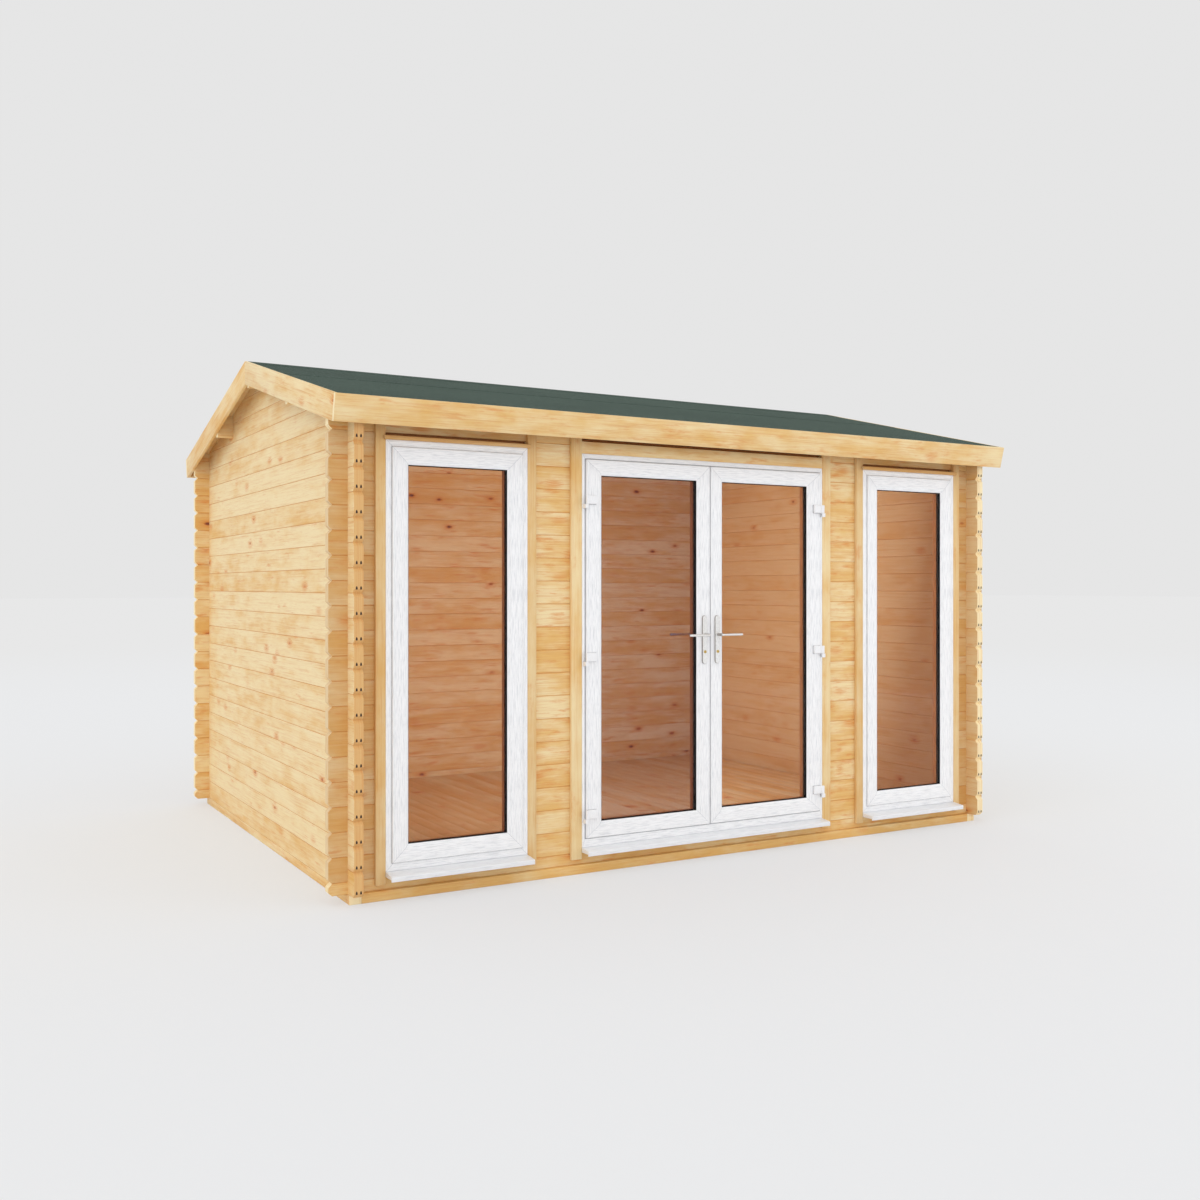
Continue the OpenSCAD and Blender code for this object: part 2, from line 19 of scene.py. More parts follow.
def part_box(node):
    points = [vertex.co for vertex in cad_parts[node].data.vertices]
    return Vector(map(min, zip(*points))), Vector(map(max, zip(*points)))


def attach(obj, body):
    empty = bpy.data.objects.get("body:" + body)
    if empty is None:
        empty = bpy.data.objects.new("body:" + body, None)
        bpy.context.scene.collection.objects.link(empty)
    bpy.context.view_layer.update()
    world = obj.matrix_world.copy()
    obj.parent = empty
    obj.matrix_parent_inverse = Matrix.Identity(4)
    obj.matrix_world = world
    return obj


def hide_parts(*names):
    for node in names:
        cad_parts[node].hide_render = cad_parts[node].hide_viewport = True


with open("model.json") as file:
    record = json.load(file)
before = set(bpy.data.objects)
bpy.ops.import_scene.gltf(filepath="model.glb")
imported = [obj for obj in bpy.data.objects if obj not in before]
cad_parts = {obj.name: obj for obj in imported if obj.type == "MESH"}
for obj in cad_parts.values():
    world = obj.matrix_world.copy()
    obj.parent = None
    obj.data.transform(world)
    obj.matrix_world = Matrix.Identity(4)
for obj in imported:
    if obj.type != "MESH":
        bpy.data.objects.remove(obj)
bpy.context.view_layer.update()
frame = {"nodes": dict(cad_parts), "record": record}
nodes = frame["nodes"]

# %% [markdown]
# ## Reading the building
#
# A decorator measures before cutting anything. The walls are stacks of logs of one height, so two
# heights give the whole rhythm: where the side logs start and where the front ones do, half a log
# later. The roof's slope comes from the ridge and the eaves in the same way.

# %% Measure the frame
LOGS_BESIDE_DOOR = 18


def low(node):
    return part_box(node)[0]


def high(node):
    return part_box(node)[1]


base_z = low("left_wall").z
sill_z = high("front_wall_base").z
head_z = low("front_wall_top").z
log_h = (head_z - sill_z) / LOGS_BESIDE_DOOR
log_t = high("left_wall").x - low("left_wall").x
wall_x = high("right_wall").x
front_y = low("pier_left_inner").y
tail = high("front_wall_top").x - wall_x
ridge_top = high("roof_felt_front").z
eave_in = low("roof_felt_front").y
fall = math.atan2(ridge_top - high("fascia_front").z, -eave_in)
print("roof slope", round(math.degrees(fall), 2), "degrees")
print("log height", round(log_h, 4), "thickness", round(log_t, 4), "tail", round(tail, 4))

# %% [markdown]
# ## Camera
#
# The camera stands at the front left corner at eye height, held level so that the posts stay
# upright. A small downward shift of the frame, in place of tilting, keeps them so.

# %% Camera
SENSOR = 36.0
camera_data = bpy.data.cameras.new("camera")
camera_data.sensor_width = SENSOR
camera_data.lens = 36.13
camera_data.shift_y = -0.0114
camera_data.clip_end = 400
camera = bpy.data.objects.new("camera", camera_data)
camera.location = (-3.712, -6.751, 1.440)
camera.rotation_euler = (math.radians(90), 0, math.radians(-29.95))
bpy.context.collection.objects.link(camera)
scene = bpy.context.scene
scene.camera = camera

# %% [markdown]
# ## A small kit for node trees
#
# Shader maths reads best as ordinary sums. `Link` wraps an output socket, and its operators add the
# Math node that does the sum. `Tree` adds any other node in one call, and `Finish` is the tree of
# one material.


def summed(operation, turned=False):
    """An operator that adds a Math node; turned puts the other value first."""
    def operator(self, other):
        return self.tree.math(operation, *((other, self) if turned else (self, other)))
    return operator


class Link:
    """One output socket; sums with it add Math nodes to its tree."""

    def __init__(self, tree, socket):
        self.tree = tree
        self.socket = socket

    __add__, __radd__ = summed("ADD"), summed("ADD", turned=True)
    __sub__, __rsub__ = summed("SUBTRACT"), summed("SUBTRACT", turned=True)
    __mul__, __rmul__ = summed("MULTIPLY"), summed("MULTIPLY", turned=True)
    __truediv__ = summed("DIVIDE")

    def __abs__(self):
        return self.tree.math("ABSOLUTE", self)


class Tree:
    """A node tree under construction."""

    def __init__(self, tree):
        self.tree = tree
        self.tree.nodes.clear()

    def node(self, kind, settings=None, inputs=None, output=0, family="Shader"):
        """Adds a node: its settings, then the values or links of its sockets; returns one output."""
        made = self.tree.nodes.new(family + "Node" + kind)
        for key, value in (settings or {}).items():
            setattr(made, key, value)
        for key, value in (inputs or {}).items():
            if isinstance(value, Link):
                self.tree.links.new(value.socket, made.inputs[key])
            else:
                made.inputs[key].default_value = value
        return Link(self, made.outputs[output])

    def end(self, kind, socket, link):
        """Adds the tree's last node, whose named socket takes the link."""
        last = self.tree.nodes.new(kind)
        self.tree.links.new(link.socket, last.inputs[socket])

    def math(self, operation, a, b=0.0):
        return self.node("Math", {"operation": operation}, {0: a, 1: b})

    def mix(self, factor, a, b):
        """Colour a where factor is 0 and colour b where it is 1."""
        return self.node("Mix", {"data_type": "RGBA"}, {0: factor, 6: a, 7: b}, output=2)

    def blend(self, factor, a, b):
        """Shader a where factor is 0 and shader b where it is 1."""
        return self.node("MixShader", inputs={0: factor, 1: a, 2: b})

    def band(self, value, start, end, low_out=0.0, high_out=1.0):
        """low_out below start, high_out above end, and smooth between them."""
        return self.node("MapRange", {"interpolation_type": "SMOOTHSTEP"}, {
            "Value": value, "From Min": start, "From Max": end,
            "To Min": low_out, "To Max": high_out,
        })

    def vector(self, x, y, z):
        return self.node("CombineXYZ", inputs={"X": x, "Y": y, "Z": z})

    def split(self, vector):
        made = self.node("SeparateXYZ", inputs={"Vector": vector}).socket.node
        return [Link(self, made.outputs[i]) for i in range(3)]

    def ray(self, kind):
        """1 for rays of this kind, such as Camera, and 0 for all others."""
        return self.node("LightPath", output=f"Is {kind} Ray")


class Finish(Tree):
    """The tree of one material."""

    def __init__(self, name):
        self.material = bpy.data.materials.new(name)
        self.material.use_nodes = True
        super().__init__(self.material.node_tree)

    def place(self):
        """Object coordinates, in metres."""
        return self.node("TexCoord", output=3)

    def stretched(self, *scale):
        """Object coordinates, scaled along each axis."""
        return self.node("Mapping", inputs={"Vector": self.place(), "Scale": scale})

    def noise(self, vector, scale=1.0, detail=3.0, roughness=0.55):
        """Noise over a vector, or over three values given as a tuple."""
        if isinstance(vector, tuple):
            vector = self.vector(*vector)
        return self.node("TexNoise", inputs={
            "Vector": vector, "Scale": scale, "Detail": detail, "Roughness": roughness,
        })

    def dice(self, vector):
        """A random number for each place, the same for equal places."""
        return self.node("TexWhiteNoise", {"noise_dimensions": "3D"}, {"Vector": vector})

    def bump(self, height, distance, strength):
        return self.node("Bump", inputs={
            "Height": height, "Distance": distance, "Strength": strength,
        })

    def surface(self, shader):
        """Ends the material in this shader."""
        self.end("ShaderNodeOutputMaterial", "Surface", shader)
        return self.material

    def finish(self, **inputs):
        """Ends the material in a Principled shader with these sockets."""
        named = {key.replace("_", " "): value for key, value in inputs.items()}
        return self.surface(self.node("BsdfPrincipled", inputs=named))


def tone(red, green, blue):
    """A colour given as it looks on screen, 0 to 255, as linear values."""
    linear = []
    for value in (red, green, blue):
        c = value / 255
        linear.append(c / 12.92 if c <= 0.04045 else ((c + 0.055) / 1.055) ** 2.4)
    return (*linear, 1.0)


def two_toned(name, grain, dark, light, span=None, relief=None, **more):
    """A plain finish: two tones mixed by a fine noise, which may also make its relief.

    grain is (scale, detail). span is where the noise turns from dark to light. relief is (distance,
    strength) of the bump. A roughness given as two values follows the noise as well.
    """
    mat = Finish(name)
    noise = mat.noise(mat.place(), *grain)
    if relief:
        more["Normal"] = mat.bump(noise, *relief)
    if isinstance(more["Roughness"], tuple):
        more["Roughness"] = mat.band(noise, 0.3, 0.7, *more["Roughness"])
    share = mat.band(noise, *span) if span else noise
    return mat.finish(Base_Color=mat.mix(share, dark, light), **more)


# %% [markdown]
# ## Light
#
# The cabin stands in a white studio: a wide soft key from the left and a little to the front, a soft
# panel far to the front right, and a pale surround that fills every shadow. The world has two jobs,
# so it has two backgrounds. Rays that see it, mirror it or pass through glass to it meet the pale
# backdrop. All other rays meet the surround, which is what the timber is lit by. Brown glass would
# make the room gloomy, so a broad panel inside, just behind the doors, lights the back wall and the
# floor as the room's own lamps do.

# %% Lights and world
BACKDROP = 0.79
FILL = 0.865
WHITE_LIGHT = (1, 1, 1, 1)
BEHIND_DOORS = 0.35

world = bpy.data.worlds.new("studio")
scene.world = world
world.use_nodes = True
sky = Tree(world.node_tree)
fill, backdrop = [
    sky.node("Background", inputs={"Color": WHITE_LIGHT, "Strength": strength})
    for strength in (FILL, BACKDROP)
]
seen = sky.math("MAXIMUM", sky.ray("Camera"), sky.ray("Glossy"))
seen = sky.math("MAXIMUM", seen, sky.ray("Transmission"))
sky.end("ShaderNodeOutputWorld", "Surface", sky.blend(seen, fill, backdrop))


def add_lamp(name, kind, strength, toward, at=(0, 0, 0), size=None):
    """A lamp whose light travels along toward; size makes it a panel that lights but isn't seen."""
    data = bpy.data.lights.new(name, kind)
    data.energy = strength
    lamp = bpy.data.objects.new(name, data)
    lamp.location = at
    lamp.rotation_euler = Vector(toward).to_track_quat("-Z", "Y").to_euler()
    bpy.context.collection.objects.link(lamp)
    if size:
        data.shape = "RECTANGLE"
        data.size, data.size_y = size
        lamp.visible_camera = False
        lamp.visible_glossy = False
    return lamp


key = add_lamp("key", "SUN", 0.68, (0.80, 0.45, -0.50))
key.data.angle = math.radians(80)
add_lamp("front_fill", "AREA", 112.0, (-0.72, 0.66, -0.20), (8.0, -9.0, 3.4), (4.0, 4.0))
add_lamp("room_lamp", "AREA", 40.0, (0, 1, 0.18), (0, front_y + BEHIND_DOORS, 1.40), (2.4, 1.8))

scene.view_settings.view_transform = "Standard"

# %% [markdown]
# ## Pine
#
# One recipe covers all the timber. Pine has long streaks along the log, a fresh tone for each log,
# jointed lengths that differ a little, small orange patches, reddish knots that the grain flows
# round, and saw marks where a log is cut across. The direction of the grain, the width of the boards
# and the strength of each mark change, so the recipe takes them as inputs. The V joint between two
# logs also gets its thin brown line.

# %% Pine recipe
PINE_PALE = tone(243, 221, 172)
PINE_GOLD = tone(230, 183, 107)
PINE_RED = tone(214, 144, 78)
PINE_LIGHT = tone(250, 232, 188)
PINE_FLAME = tone(221, 139, 62)
KNOT = tone(182, 96, 50)
KNOT_CORE = tone(98, 50, 42)
JOINT_LINE = tone(214, 146, 76)
# the tone of the painted shade
SHADE_TONE = tone(188, 130, 70)
# share of painted shade on the side walls' faces towards the room
ROOM_SHADE = 0.30
END_PALE = tone(251, 233, 188)
END_DEEP = tone(226, 180, 116)
# painted shade in the grooves' holes at the logs' cut ends
GROOVE_SHADE = tone(52, 30, 18)
GROOVE_APART = 0.010
GROOVE_HALF = 0.0044
GROOVE_UP = 0.0235
GROOVE_TALL = 0.0080


def pine(
    name, along, stack=None, warmth=0.5, knots=0.5, depth=1.0, seed=0.0, tilt=0.0, grooves=0.0,
    painted_shade=0.0, shade_tone=SHADE_TONE, dark_knots=0.5, knot_size=1.0, flames=1.0,
):
    """Pine with its grain along an axis, 0 to 2.

    stack is (axis, start, pitch, line) where boards or logs lie side by side, and line is the width
    of the brown line between them. warmth runs from pale to golden, and depth scales every contrast.
    knots is the share of places that have a knot, dark_knots the share of the knots with a dark
    heart, and knot_size scales them. tilt turns the grain about X, in degrees, for boards that
    follow the roof's slope. grooves is the distance of the walls' middle planes from the centre,
    where the logs' grooves are painted at their cut ends as pairs of small holes, dark with painted
    shade; those walls' faces towards the room are darkened too, a painted shade. The painted shade
    argument is the share of the shade tone mixed in, a painted shade for the corner logs, the window
    heads and trims and the room's floor. flames scales the small orange patches, from 0 for few to 2
    for many.
    """
    mat = Finish(name)
    place = mat.place()
    if tilt:
        place = mat.node("Mapping", inputs={
            "Vector": place, "Rotation": (math.radians(tilt), 0, 0),
        })
    xyz = mat.split(place)
    run = xyz[along]
    side_a, side_b = [xyz[i] for i in range(3) if i != along]
    if stack:
        axis, start, pitch, line = stack
        step = (xyz[axis] - start) / pitch
        board = mat.math("FLOOR", step)
        within = mat.math("FRACT", step)
    else:
        board = mat.math("FLOOR", run * 0.05 + (seed + 0.5))
    luck = mat.dice(mat.vector(board + seed, 3.7, 1.3))
    slid = run + luck * 9.0

    # lengths that are finger jointed into one board
    length = mat.math("FLOOR", slid * 1.55)
    length_luck = mat.dice(mat.vector(board + seed, length, 7.1))

    # knots: a few per board, each where a cell of the pattern is lucky enough
    cells = mat.node("TexVoronoi", {"voronoi_dimensions": "3D"}, {
        "Vector": mat.vector(slid * 4.4, board * 3.1 + seed, side_b * 9.0 + side_a * 3.0),
        "Scale": 1.0, "Randomness": 1.0,
    })
    cell_luck = mat.split(Link(mat, cells.socket.node.outputs["Color"]))
    chance = mat.band(cell_luck[0], 1.0 - knots, 1.02 - knots)
    dark = mat.band(cell_luck[1], 1.0 - dark_knots, 1.1 - dark_knots)
    knot = mat.band(cells, 0.085 * knot_size, 0.045 * knot_size) * chance
    core = mat.band(cells, 0.055 * knot_size, 0.025 * knot_size) * chance * dark
    flow = mat.band(cells, 0.34, 0.05) * chance

    # streaks, pushed aside by the knots
    pushed = side_b + flow * 0.012
    broad = mat.noise((slid * 0.9, side_a * 16.0 + luck * 5.0, pushed * 16.0), detail=4.0)
    streak = mat.noise((slid * 2.6, side_a * 85.0, pushed * 85.0))
    vein = mat.noise((slid * 3.4, side_a * 210.0, pushed * 210.0 + luck * 9.0))
    fine = mat.noise((slid * 11.0, side_a * 420.0, side_b * 420.0), detail=2.0)

    # soft patches: wide, middling, and the small ones that turn orange
    cloud = mat.noise((slid * 1.9, side_a * 4.0, side_b * 9.0 + luck * 3.0), detail=2.0)
    mottle = mat.noise((slid * 5.5, side_a * 8.0, side_b * 15.0 + luck * 4.0))
    blush = mat.noise(
        (slid * 6.0, side_a * 9.0, side_b * 32.0 + luck * 7.0), detail=4.0, roughness=0.65
    )

    gold = warmth + (luck - 0.5) * 0.50 * depth + (length_luck - 0.5) * 0.10 * depth
    for patches, contrast in ((broad, 0.8), (cloud, 1.4), (mottle, 1.3)):
        gold = gold + (patches - 0.5) * contrast * depth
    onset = 0.60 - 0.045 * flames
    flame = mat.band(blush, onset, onset + 0.20) * mat.band(vein + fine, 0.80, 1.15, 0.45, 1.0)
    veined = mat.band(cloud, 0.42, 0.62, 0.35, 1.0)
    colour = mat.mix(mat.band(gold, 0.0, 1.0), PINE_PALE, PINE_GOLD)
    for share, tint in (
        (mat.band(streak, 0.50, 0.78) * (0.34 * depth), PINE_RED),
        (mat.band(vein, 0.52, 0.70) * veined * (0.50 * depth), PINE_RED),
        (mat.band(vein, 0.46, 0.30) * veined * (0.28 * depth), PINE_LIGHT),
        (mat.band(fine, 0.52, 0.76) * (0.36 * depth), PINE_RED),
        (flame * (0.75 * depth), PINE_FLAME),
        (flow * mat.band(vein, 0.35, 0.62, 0.25, 0.9), PINE_FLAME),
        (knot * 0.85, KNOT),
        (core * 0.8, KNOT_CORE),
    ):
        colour = mat.mix(share, colour, tint)

    # cut ends: fine streaks where the saw ran, paler on one side of the cabin than on the other
    normal = mat.split(mat.node("NewGeometry", output=1))
    cut = mat.band(abs(normal[along]), 0.5, 0.65)
    if grooves:
        sawn = mat.noise((side_a * 190.0, run * 2.0, side_b * 2.6))
        end_colour = mat.mix(mat.band(xyz[0], -0.1, 0.1), END_DEEP, END_PALE)
        end_colour = mat.mix(mat.band(sawn, 0.42, 0.68) * 0.45, end_colour, PINE_RED)
    else:
        sawn = mat.noise((side_a * 70.0, side_b * 9.0, run))
        end_colour = mat.mix(mat.band(sawn, 0.42, 0.70) * 0.5, END_PALE, PINE_GOLD)
    colour = mat.mix(cut, colour, end_colour)

    # painted shade: the wood is darkened toward the shade tone
    if painted_shade:
        colour = mat.mix(painted_shade, colour, shade_tone)
    # painted shade on the side walls' faces towards the room
    if grooves:
        room_side_shade = mat.band(normal[0] * mat.math("SIGN", xyz[0]), -0.5, -0.8)
        colour = mat.mix(room_side_shade * ROOM_SHADE, colour, SHADE_TONE)

    if stack and line:
        edge = 0.5 - abs(within - 0.5)
        gap = mat.band(edge * pitch, line * 0.5, line * 0.2) * (1 - cut)
        colour = mat.mix(gap * 0.8, colour, JOINT_LINE)
    # the grooves' holes are painted, not cut: their dark is painted shade
    if grooves:
        up = within * pitch - GROOVE_UP
        across = abs(abs(abs(xyz[0]) - grooves) - GROOVE_APART)
        taper = GROOVE_HALF - mat.band(up, 0.0, GROOVE_TALL) * (GROOVE_HALF * 0.6)
        tall = mat.band(abs(up), GROOVE_TALL, GROOVE_TALL - 0.001)
        colour = mat.mix(mat.band(across - taper, 0.0004, -0.0004) * tall * cut, colour, GROOVE_SHADE)

    relief = streak * 0.5 + fine * 0.3 - knot * 0.5
    return mat.finish(
        Base_Color=colour,
        Roughness=mat.band(streak, 0.3, 0.8, 0.52, 0.66),
        Normal=mat.bump(relief, 0.0012, 0.5),
    )


# %% [markdown]
# ## Log walls
#
# The side walls' logs run front to back and start on the bearers. The front and back ones run left
# to right and start half a log higher, which is how the corners lock. Each needs its own grain and
# its own rhythm. The logs at the front's corners are painted a little browner, a painted shade for
# the corner where the tails keep light off them, and those of the back wall, which is seen through
# the windows, have more and darker knots. The side walls' faces towards the room get a painted shade
# as well.

# %% Log walls
JOINT_W = 0.0036
LONG_LOGS = (2, sill_z, log_h, JOINT_W)
pine_side = pine(
    "pine_side_logs", 1, (2, base_z, log_h, JOINT_W), warmth=0.27, knots=0.34, seed=11.0, depth=0.85,
    flames=0.3, grooves=wall_x - log_t / 2,
)
pine_front = pine(
    "pine_front_logs", 0, LONG_LOGS, warmth=0.50, knots=0.60, seed=2.0, depth=1.1, flames=1.9
)
# painted shade: the corner piers' logs are darkened toward the shade tone
pine_corner = pine(
    "pine_corner_logs", 0, LONG_LOGS, warmth=0.54, knots=0.60, seed=5.0, painted_shade=0.38, flames=1.6
)
pine_back = pine(
    "pine_back_logs", 0, LONG_LOGS, warmth=0.50, knots=0.72, seed=14.0, depth=1.1, flames=1.6,
    dark_knots=0.9, knot_size=1.6,
)
LOGS = {
    pine_side: ("left_wall", "right_wall"),
    pine_front: ("front_wall_base", "front_wall_top", "pier_left_inner", "pier_right_inner"),
    pine_corner: ("pier_left_outer", "pier_right_outer"),
    pine_back: ("back_wall",),
}
for material, names in LOGS.items():
    for name in names:
        mesh = nodes[name].data
        mesh.materials.clear()
        mesh.materials.append(material)

# %% [markdown]
# ## Eased edges
#
# No planed board has a knife edge: a plane or sandpaper takes a millimetre or so off, and that
# narrow band catches the light. The CAD solids are sharp, so each board is copied, its loose
# triangles are merged into faces, and a Bevel modifier eases the edges inwards, which keeps the
# piece inside its CAD size. The copy then stands for the CAD node. Forms made from nothing, such as
# seals and levers, end in `made_piece` in the same way.

# %% Easing edges
MERGE = 1e-5
FLAT = math.radians(1)
SHARP = math.radians(35)


def body_of(node):
    bodies = frame["record"]["behaviour"]["bodies"]
    return next(name for name, listed in bodies.items() if node in listed)


def slot_of(node):
    return next(s["material_slot"] for s in frame["record"]["subparts"] if s["node"] == node)


def baked(obj):
    """Turns an object's modifiers into plain mesh."""
    graph = bpy.context.evaluated_depsgraph_get()
    mesh = bpy.data.meshes.new_from_object(obj.evaluated_get(graph), depsgraph=graph)
    obj.modifiers.clear()
    obj.data = mesh
    return obj


def stand_for(piece, node):
    """The piece rides where its CAD node rides and shows in its place; the node's slot is looked up but
    not given to the piece.
    """
    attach(piece, body_of(node))
    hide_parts(node)
    slot_of(node)


def along_with(piece, node):
    """The piece rides where a CAD node rides, and the node still shows; its slot is looked up but not
    given to the piece.
    """
    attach(piece, body_of(node))
    slot_of(node)


def new_piece(name, mesh):
    piece = bpy.data.objects.new(name, mesh)
    bpy.context.collection.objects.link(piece)
    return piece


def smooth_by_angle(piece):
    piece.data.shade_smooth()
    piece.data.set_sharp_from_angle(angle=SHARP)


def join_rings(work, rings):
    """Faces between each ring of points and the next, and over both ends."""
    work.faces.new(rings[0])
    work.faces.new(rings[-1])
    count = len(rings[0])
    for here, there in zip(rings, rings[1:]):
        for i in range(count):
            j = (i + 1) % count
            work.faces.new((here[i], here[j], there[j], there[i]))


def made_piece(name, work, *materials, smooth=True):
    """Turns what was built in a BMesh into a piece, with its faces all turned outwards."""
    bmesh.ops.recalc_face_normals(work, faces=work.faces)
    mesh = bpy.data.meshes.new(name)
    work.to_mesh(mesh)
    work.free()
    for material in materials:
        mesh.materials.append(material)
    piece = new_piece(name, mesh)
    if smooth:
        smooth_by_angle(piece)
    return piece


def eased(node, width, material, segments=2):
    """A copy of a CAD node with eased edges, which then stands for it."""
    mesh = nodes[node].data.copy()
    work = bmesh.new()
    work.from_mesh(mesh)
    bmesh.ops.remove_doubles(work, verts=work.verts, dist=MERGE)
    bmesh.ops.dissolve_limit(work, angle_limit=FLAT, verts=work.verts, edges=work.edges)
    work.to_mesh(mesh)
    work.free()
    mesh.materials.clear()
    mesh.materials.append(material)
    piece = new_piece(node + "_finish", mesh)
    bevel = piece.modifiers.new("ease", "BEVEL")
    bevel.width = width
    bevel.segments = segments
    bevel.limit_method = "ANGLE"
    bevel.angle_limit = math.radians(30)
    bevel.harden_normals = False
    smooth_by_angle(baked(piece))
    stand_for(piece, node)
    return piece


# %% [markdown]
# ## Boards and battens
#
# Bearers, purlins, fascias, bargeboards and trims are single planed boards. The grain runs the long
# way of each: left to right, front to back or upright. The bargeboards follow the roof, so their
# grain is turned by the roof's slope.

# %% Single boards
EASE = 0.002
slope = math.degrees(fall)
BOARDS = (
    ("pine_bearers_x", 0, dict(warmth=0.62, knots=0.30, seed=29.0),
     ("foundation_front", "foundation_back", "floor_joists")),
    ("pine_purlins", 0, dict(warmth=0.60, knots=0.30, seed=37.0),
     ("ridge_purlin", "front_purlin", "back_purlin")),
    ("pine_boards_x", 0, dict(warmth=0.66, knots=0.30, seed=31.0, depth=0.9, flames=1.6),
     ("fascia_front", "fascia_back", "door_head_trim")),
    # painted shade: the window heads, under the eaves, and the window trims are darkened toward the
    # shade tone
    ("pine_window_heads", 0, dict(warmth=0.90, knots=0.20, seed=33.0, depth=0.8, painted_shade=0.45),
     ("window_head_trims",)),
    ("pine_bearers_y", 1, dict(warmth=0.42, knots=0.25, seed=43.0),
     ("foundation_left", "foundation_right")),
    ("pine_trims", 2, dict(warmth=0.58, knots=0.22, seed=57.0, depth=0.8), ("door_side_trims",)),
    ("pine_window_trims", 2, dict(warmth=0.60, knots=0.22, seed=61.0, depth=0.8, painted_shade=0.16),
     ("window_side_trims",)),
    ("pine_bargeboards_front", 1, dict(warmth=0.44, knots=0.26, seed=71.0, flames=0.3, tilt=-slope),
     ("bargeboard_left_front", "bargeboard_right_front")),
    ("pine_bargeboards_back", 1, dict(warmth=0.44, knots=0.26, seed=83.0, flames=0.3, tilt=slope),
     ("bargeboard_left_back", "bargeboard_right_back")),
)
for finish_name, along, look, boards in BOARDS:
    board_pine = pine(finish_name, along, **look)
    for name in boards:
        eased(name, EASE, board_pine)
print("eased", sum(len(boards) for *_, boards in BOARDS), "boards")

# %% [markdown]
# ## Floor and roof boards
#
# The floor and the roof are rows of narrow boards, which the CAD frame holds as single sheets. A row
# is one board repeated, so Geometry Nodes lay it: a rounded rectangle swept along a line makes the
# board, and a line of points places the copies. Real gaps show as thin dark lines.

# %% A row of boards
BOARD_W = 0.088
BOARD_GAP = 0.001
BOARD_EASE = 0.0016


class Row(Tree):
    """A Geometry Nodes tree that lays copies of one form in a row."""

    def __init__(self, name):
        super().__init__(bpy.data.node_groups.new(name, "GeometryNodeTree"))
        self.tree.interface.new_socket("Geometry", in_out="OUTPUT", socket_type="NodeSocketGeometry")

    def shape(self, kind, inputs, **settings):
        return self.node(kind, settings, inputs, family="Geometry")

    def lay(self, name, material, form, count, start, pitch):
        """Ends the tree; returns a piece with count copies along X, the first one at start."""
        points = self.shape("MeshLine", {
            "Count": count, "Start Location": (start, 0, 0), "Offset": (pitch, 0, 0),
        })
        placed = self.shape("InstanceOnPoints", {"Points": points, "Instance": form})
        real = self.shape("RealizeInstances", {"Geometry": placed})
        painted = self.shape("SetMaterial", {"Geometry": real, "Material": material})
        self.end("NodeGroupOutput", "Geometry", painted)
        piece = new_piece(name, bpy.data.meshes.new(name))
        piece.modifiers.new("row", "NODES").node_group = self.tree
        baked(piece)
        if not piece.data.materials:
            piece.data.materials.append(material)
        return piece


def board_row(name, material, length, across, thickness):
    """Boards along Y, side by side along X from the origin; their pitch is stretched to fill across."""
    row = Row("board_row")
    count = round(across / BOARD_W)
    pitch = across / count
    section = row.shape(
        "CurvePrimitiveQuadrilateral", {"Width": pitch - BOARD_GAP, "Height": thickness}
    )
    rounded = row.shape(
        "FilletCurve", {"Curve": section, "Radius": BOARD_EASE, "Count": 2}, mode="POLY"
    )
    line = row.shape("CurvePrimitiveLine", {"End": (0, 0, length)})
    board = row.shape("CurveToMesh", {"Curve": line, "Profile Curve": rounded, "Fill Caps": True})
    laid = row.shape("Transform", {"Geometry": board, "Rotation": (math.radians(-90), 0, 0)})
    return row.lay(name, material, laid, count, pitch / 2, pitch)


floor_low, floor_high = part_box("floor_boards")
floor_size = floor_high - floor_low
floor_count = round(floor_size.x / BOARD_W)
# painted shade: the floor is darkened toward a greyish shade tone, holding down the room lamp's light
# on it
pine_floor = pine(
    "pine_floor", 1, (0, floor_low.x, floor_size.x / floor_count, 0.0), warmth=0.48, knots=0.4,
    seed=91.0, dark_knots=0.9, painted_shade=0.18, shade_tone=tone(146, 120, 108),
)
floor = board_row("floor_boards_finish", pine_floor, floor_size.y, floor_size.x, floor_size.z)
floor.data.transform(Matrix.Translation((floor_low.x, floor_low.y, floor_low.z + floor_size.z / 2)))
stand_for(floor, "floor_boards")
print("floor:", floor_count, "boards", [round(v, 3) for v in floor.dimensions])

# %% Roof boards
FELT_T = 0.004
roof_low, roof_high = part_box("roof_boards_front")
roof_t = (ridge_top - high("ridge_purlin").z) * math.cos(fall)
board_t = roof_t - FELT_T
roof_run = -eave_in / math.cos(fall)
print("boards", round(board_t, 4), "slope length", round(roof_run, 3))


def on_slope(side):
    """Places a flat sheet, ridge at y = 0 and felt surface at z = 0, on the front or back slope."""
    return Matrix.Translation((0, 0, ridge_top)) @ Matrix.Rotation(-side * fall, 4, "X")


roof_across = roof_high.x - roof_low.x
roof_count = round(roof_across / BOARD_W)
pine_roof = pine(
    "pine_roof", 1, (0, roof_low.x, roof_across / roof_count, 0.0), warmth=0.6, knots=0.3, seed=103.0
)
for side, node in ((-1, "roof_boards_front"), (1, "roof_boards_back")):
    start = roof_t * math.tan(fall)
    run = roof_run - start
    boards = board_row(node + "_finish", pine_roof, run, roof_across, board_t)
    middle = -(FELT_T + board_t / 2)
    near = start if side > 0 else -roof_run
    boards.data.transform(on_slope(side) @ Matrix.Translation((roof_low.x, near, middle)))
    stand_for(boards, node)
print("roof:", roof_count, "boards a side")

# %% [markdown]
# ## Roofing felt
#
# Mineral felt comes in rolls a metre wide. It is laid in strips along the roof from the eaves up,
# each lapping the one below, with a cap over the ridge. Seen from the side the strips make a
# shallow sawtooth, so one outline of the slope, pulled along the cabin, gives every lap a real edge.
# The green mineral grit is a fine noise in colour and bump.

# %% Felt
FELT_STEP = 0.0012
LAPS = (0.135, 0.72)

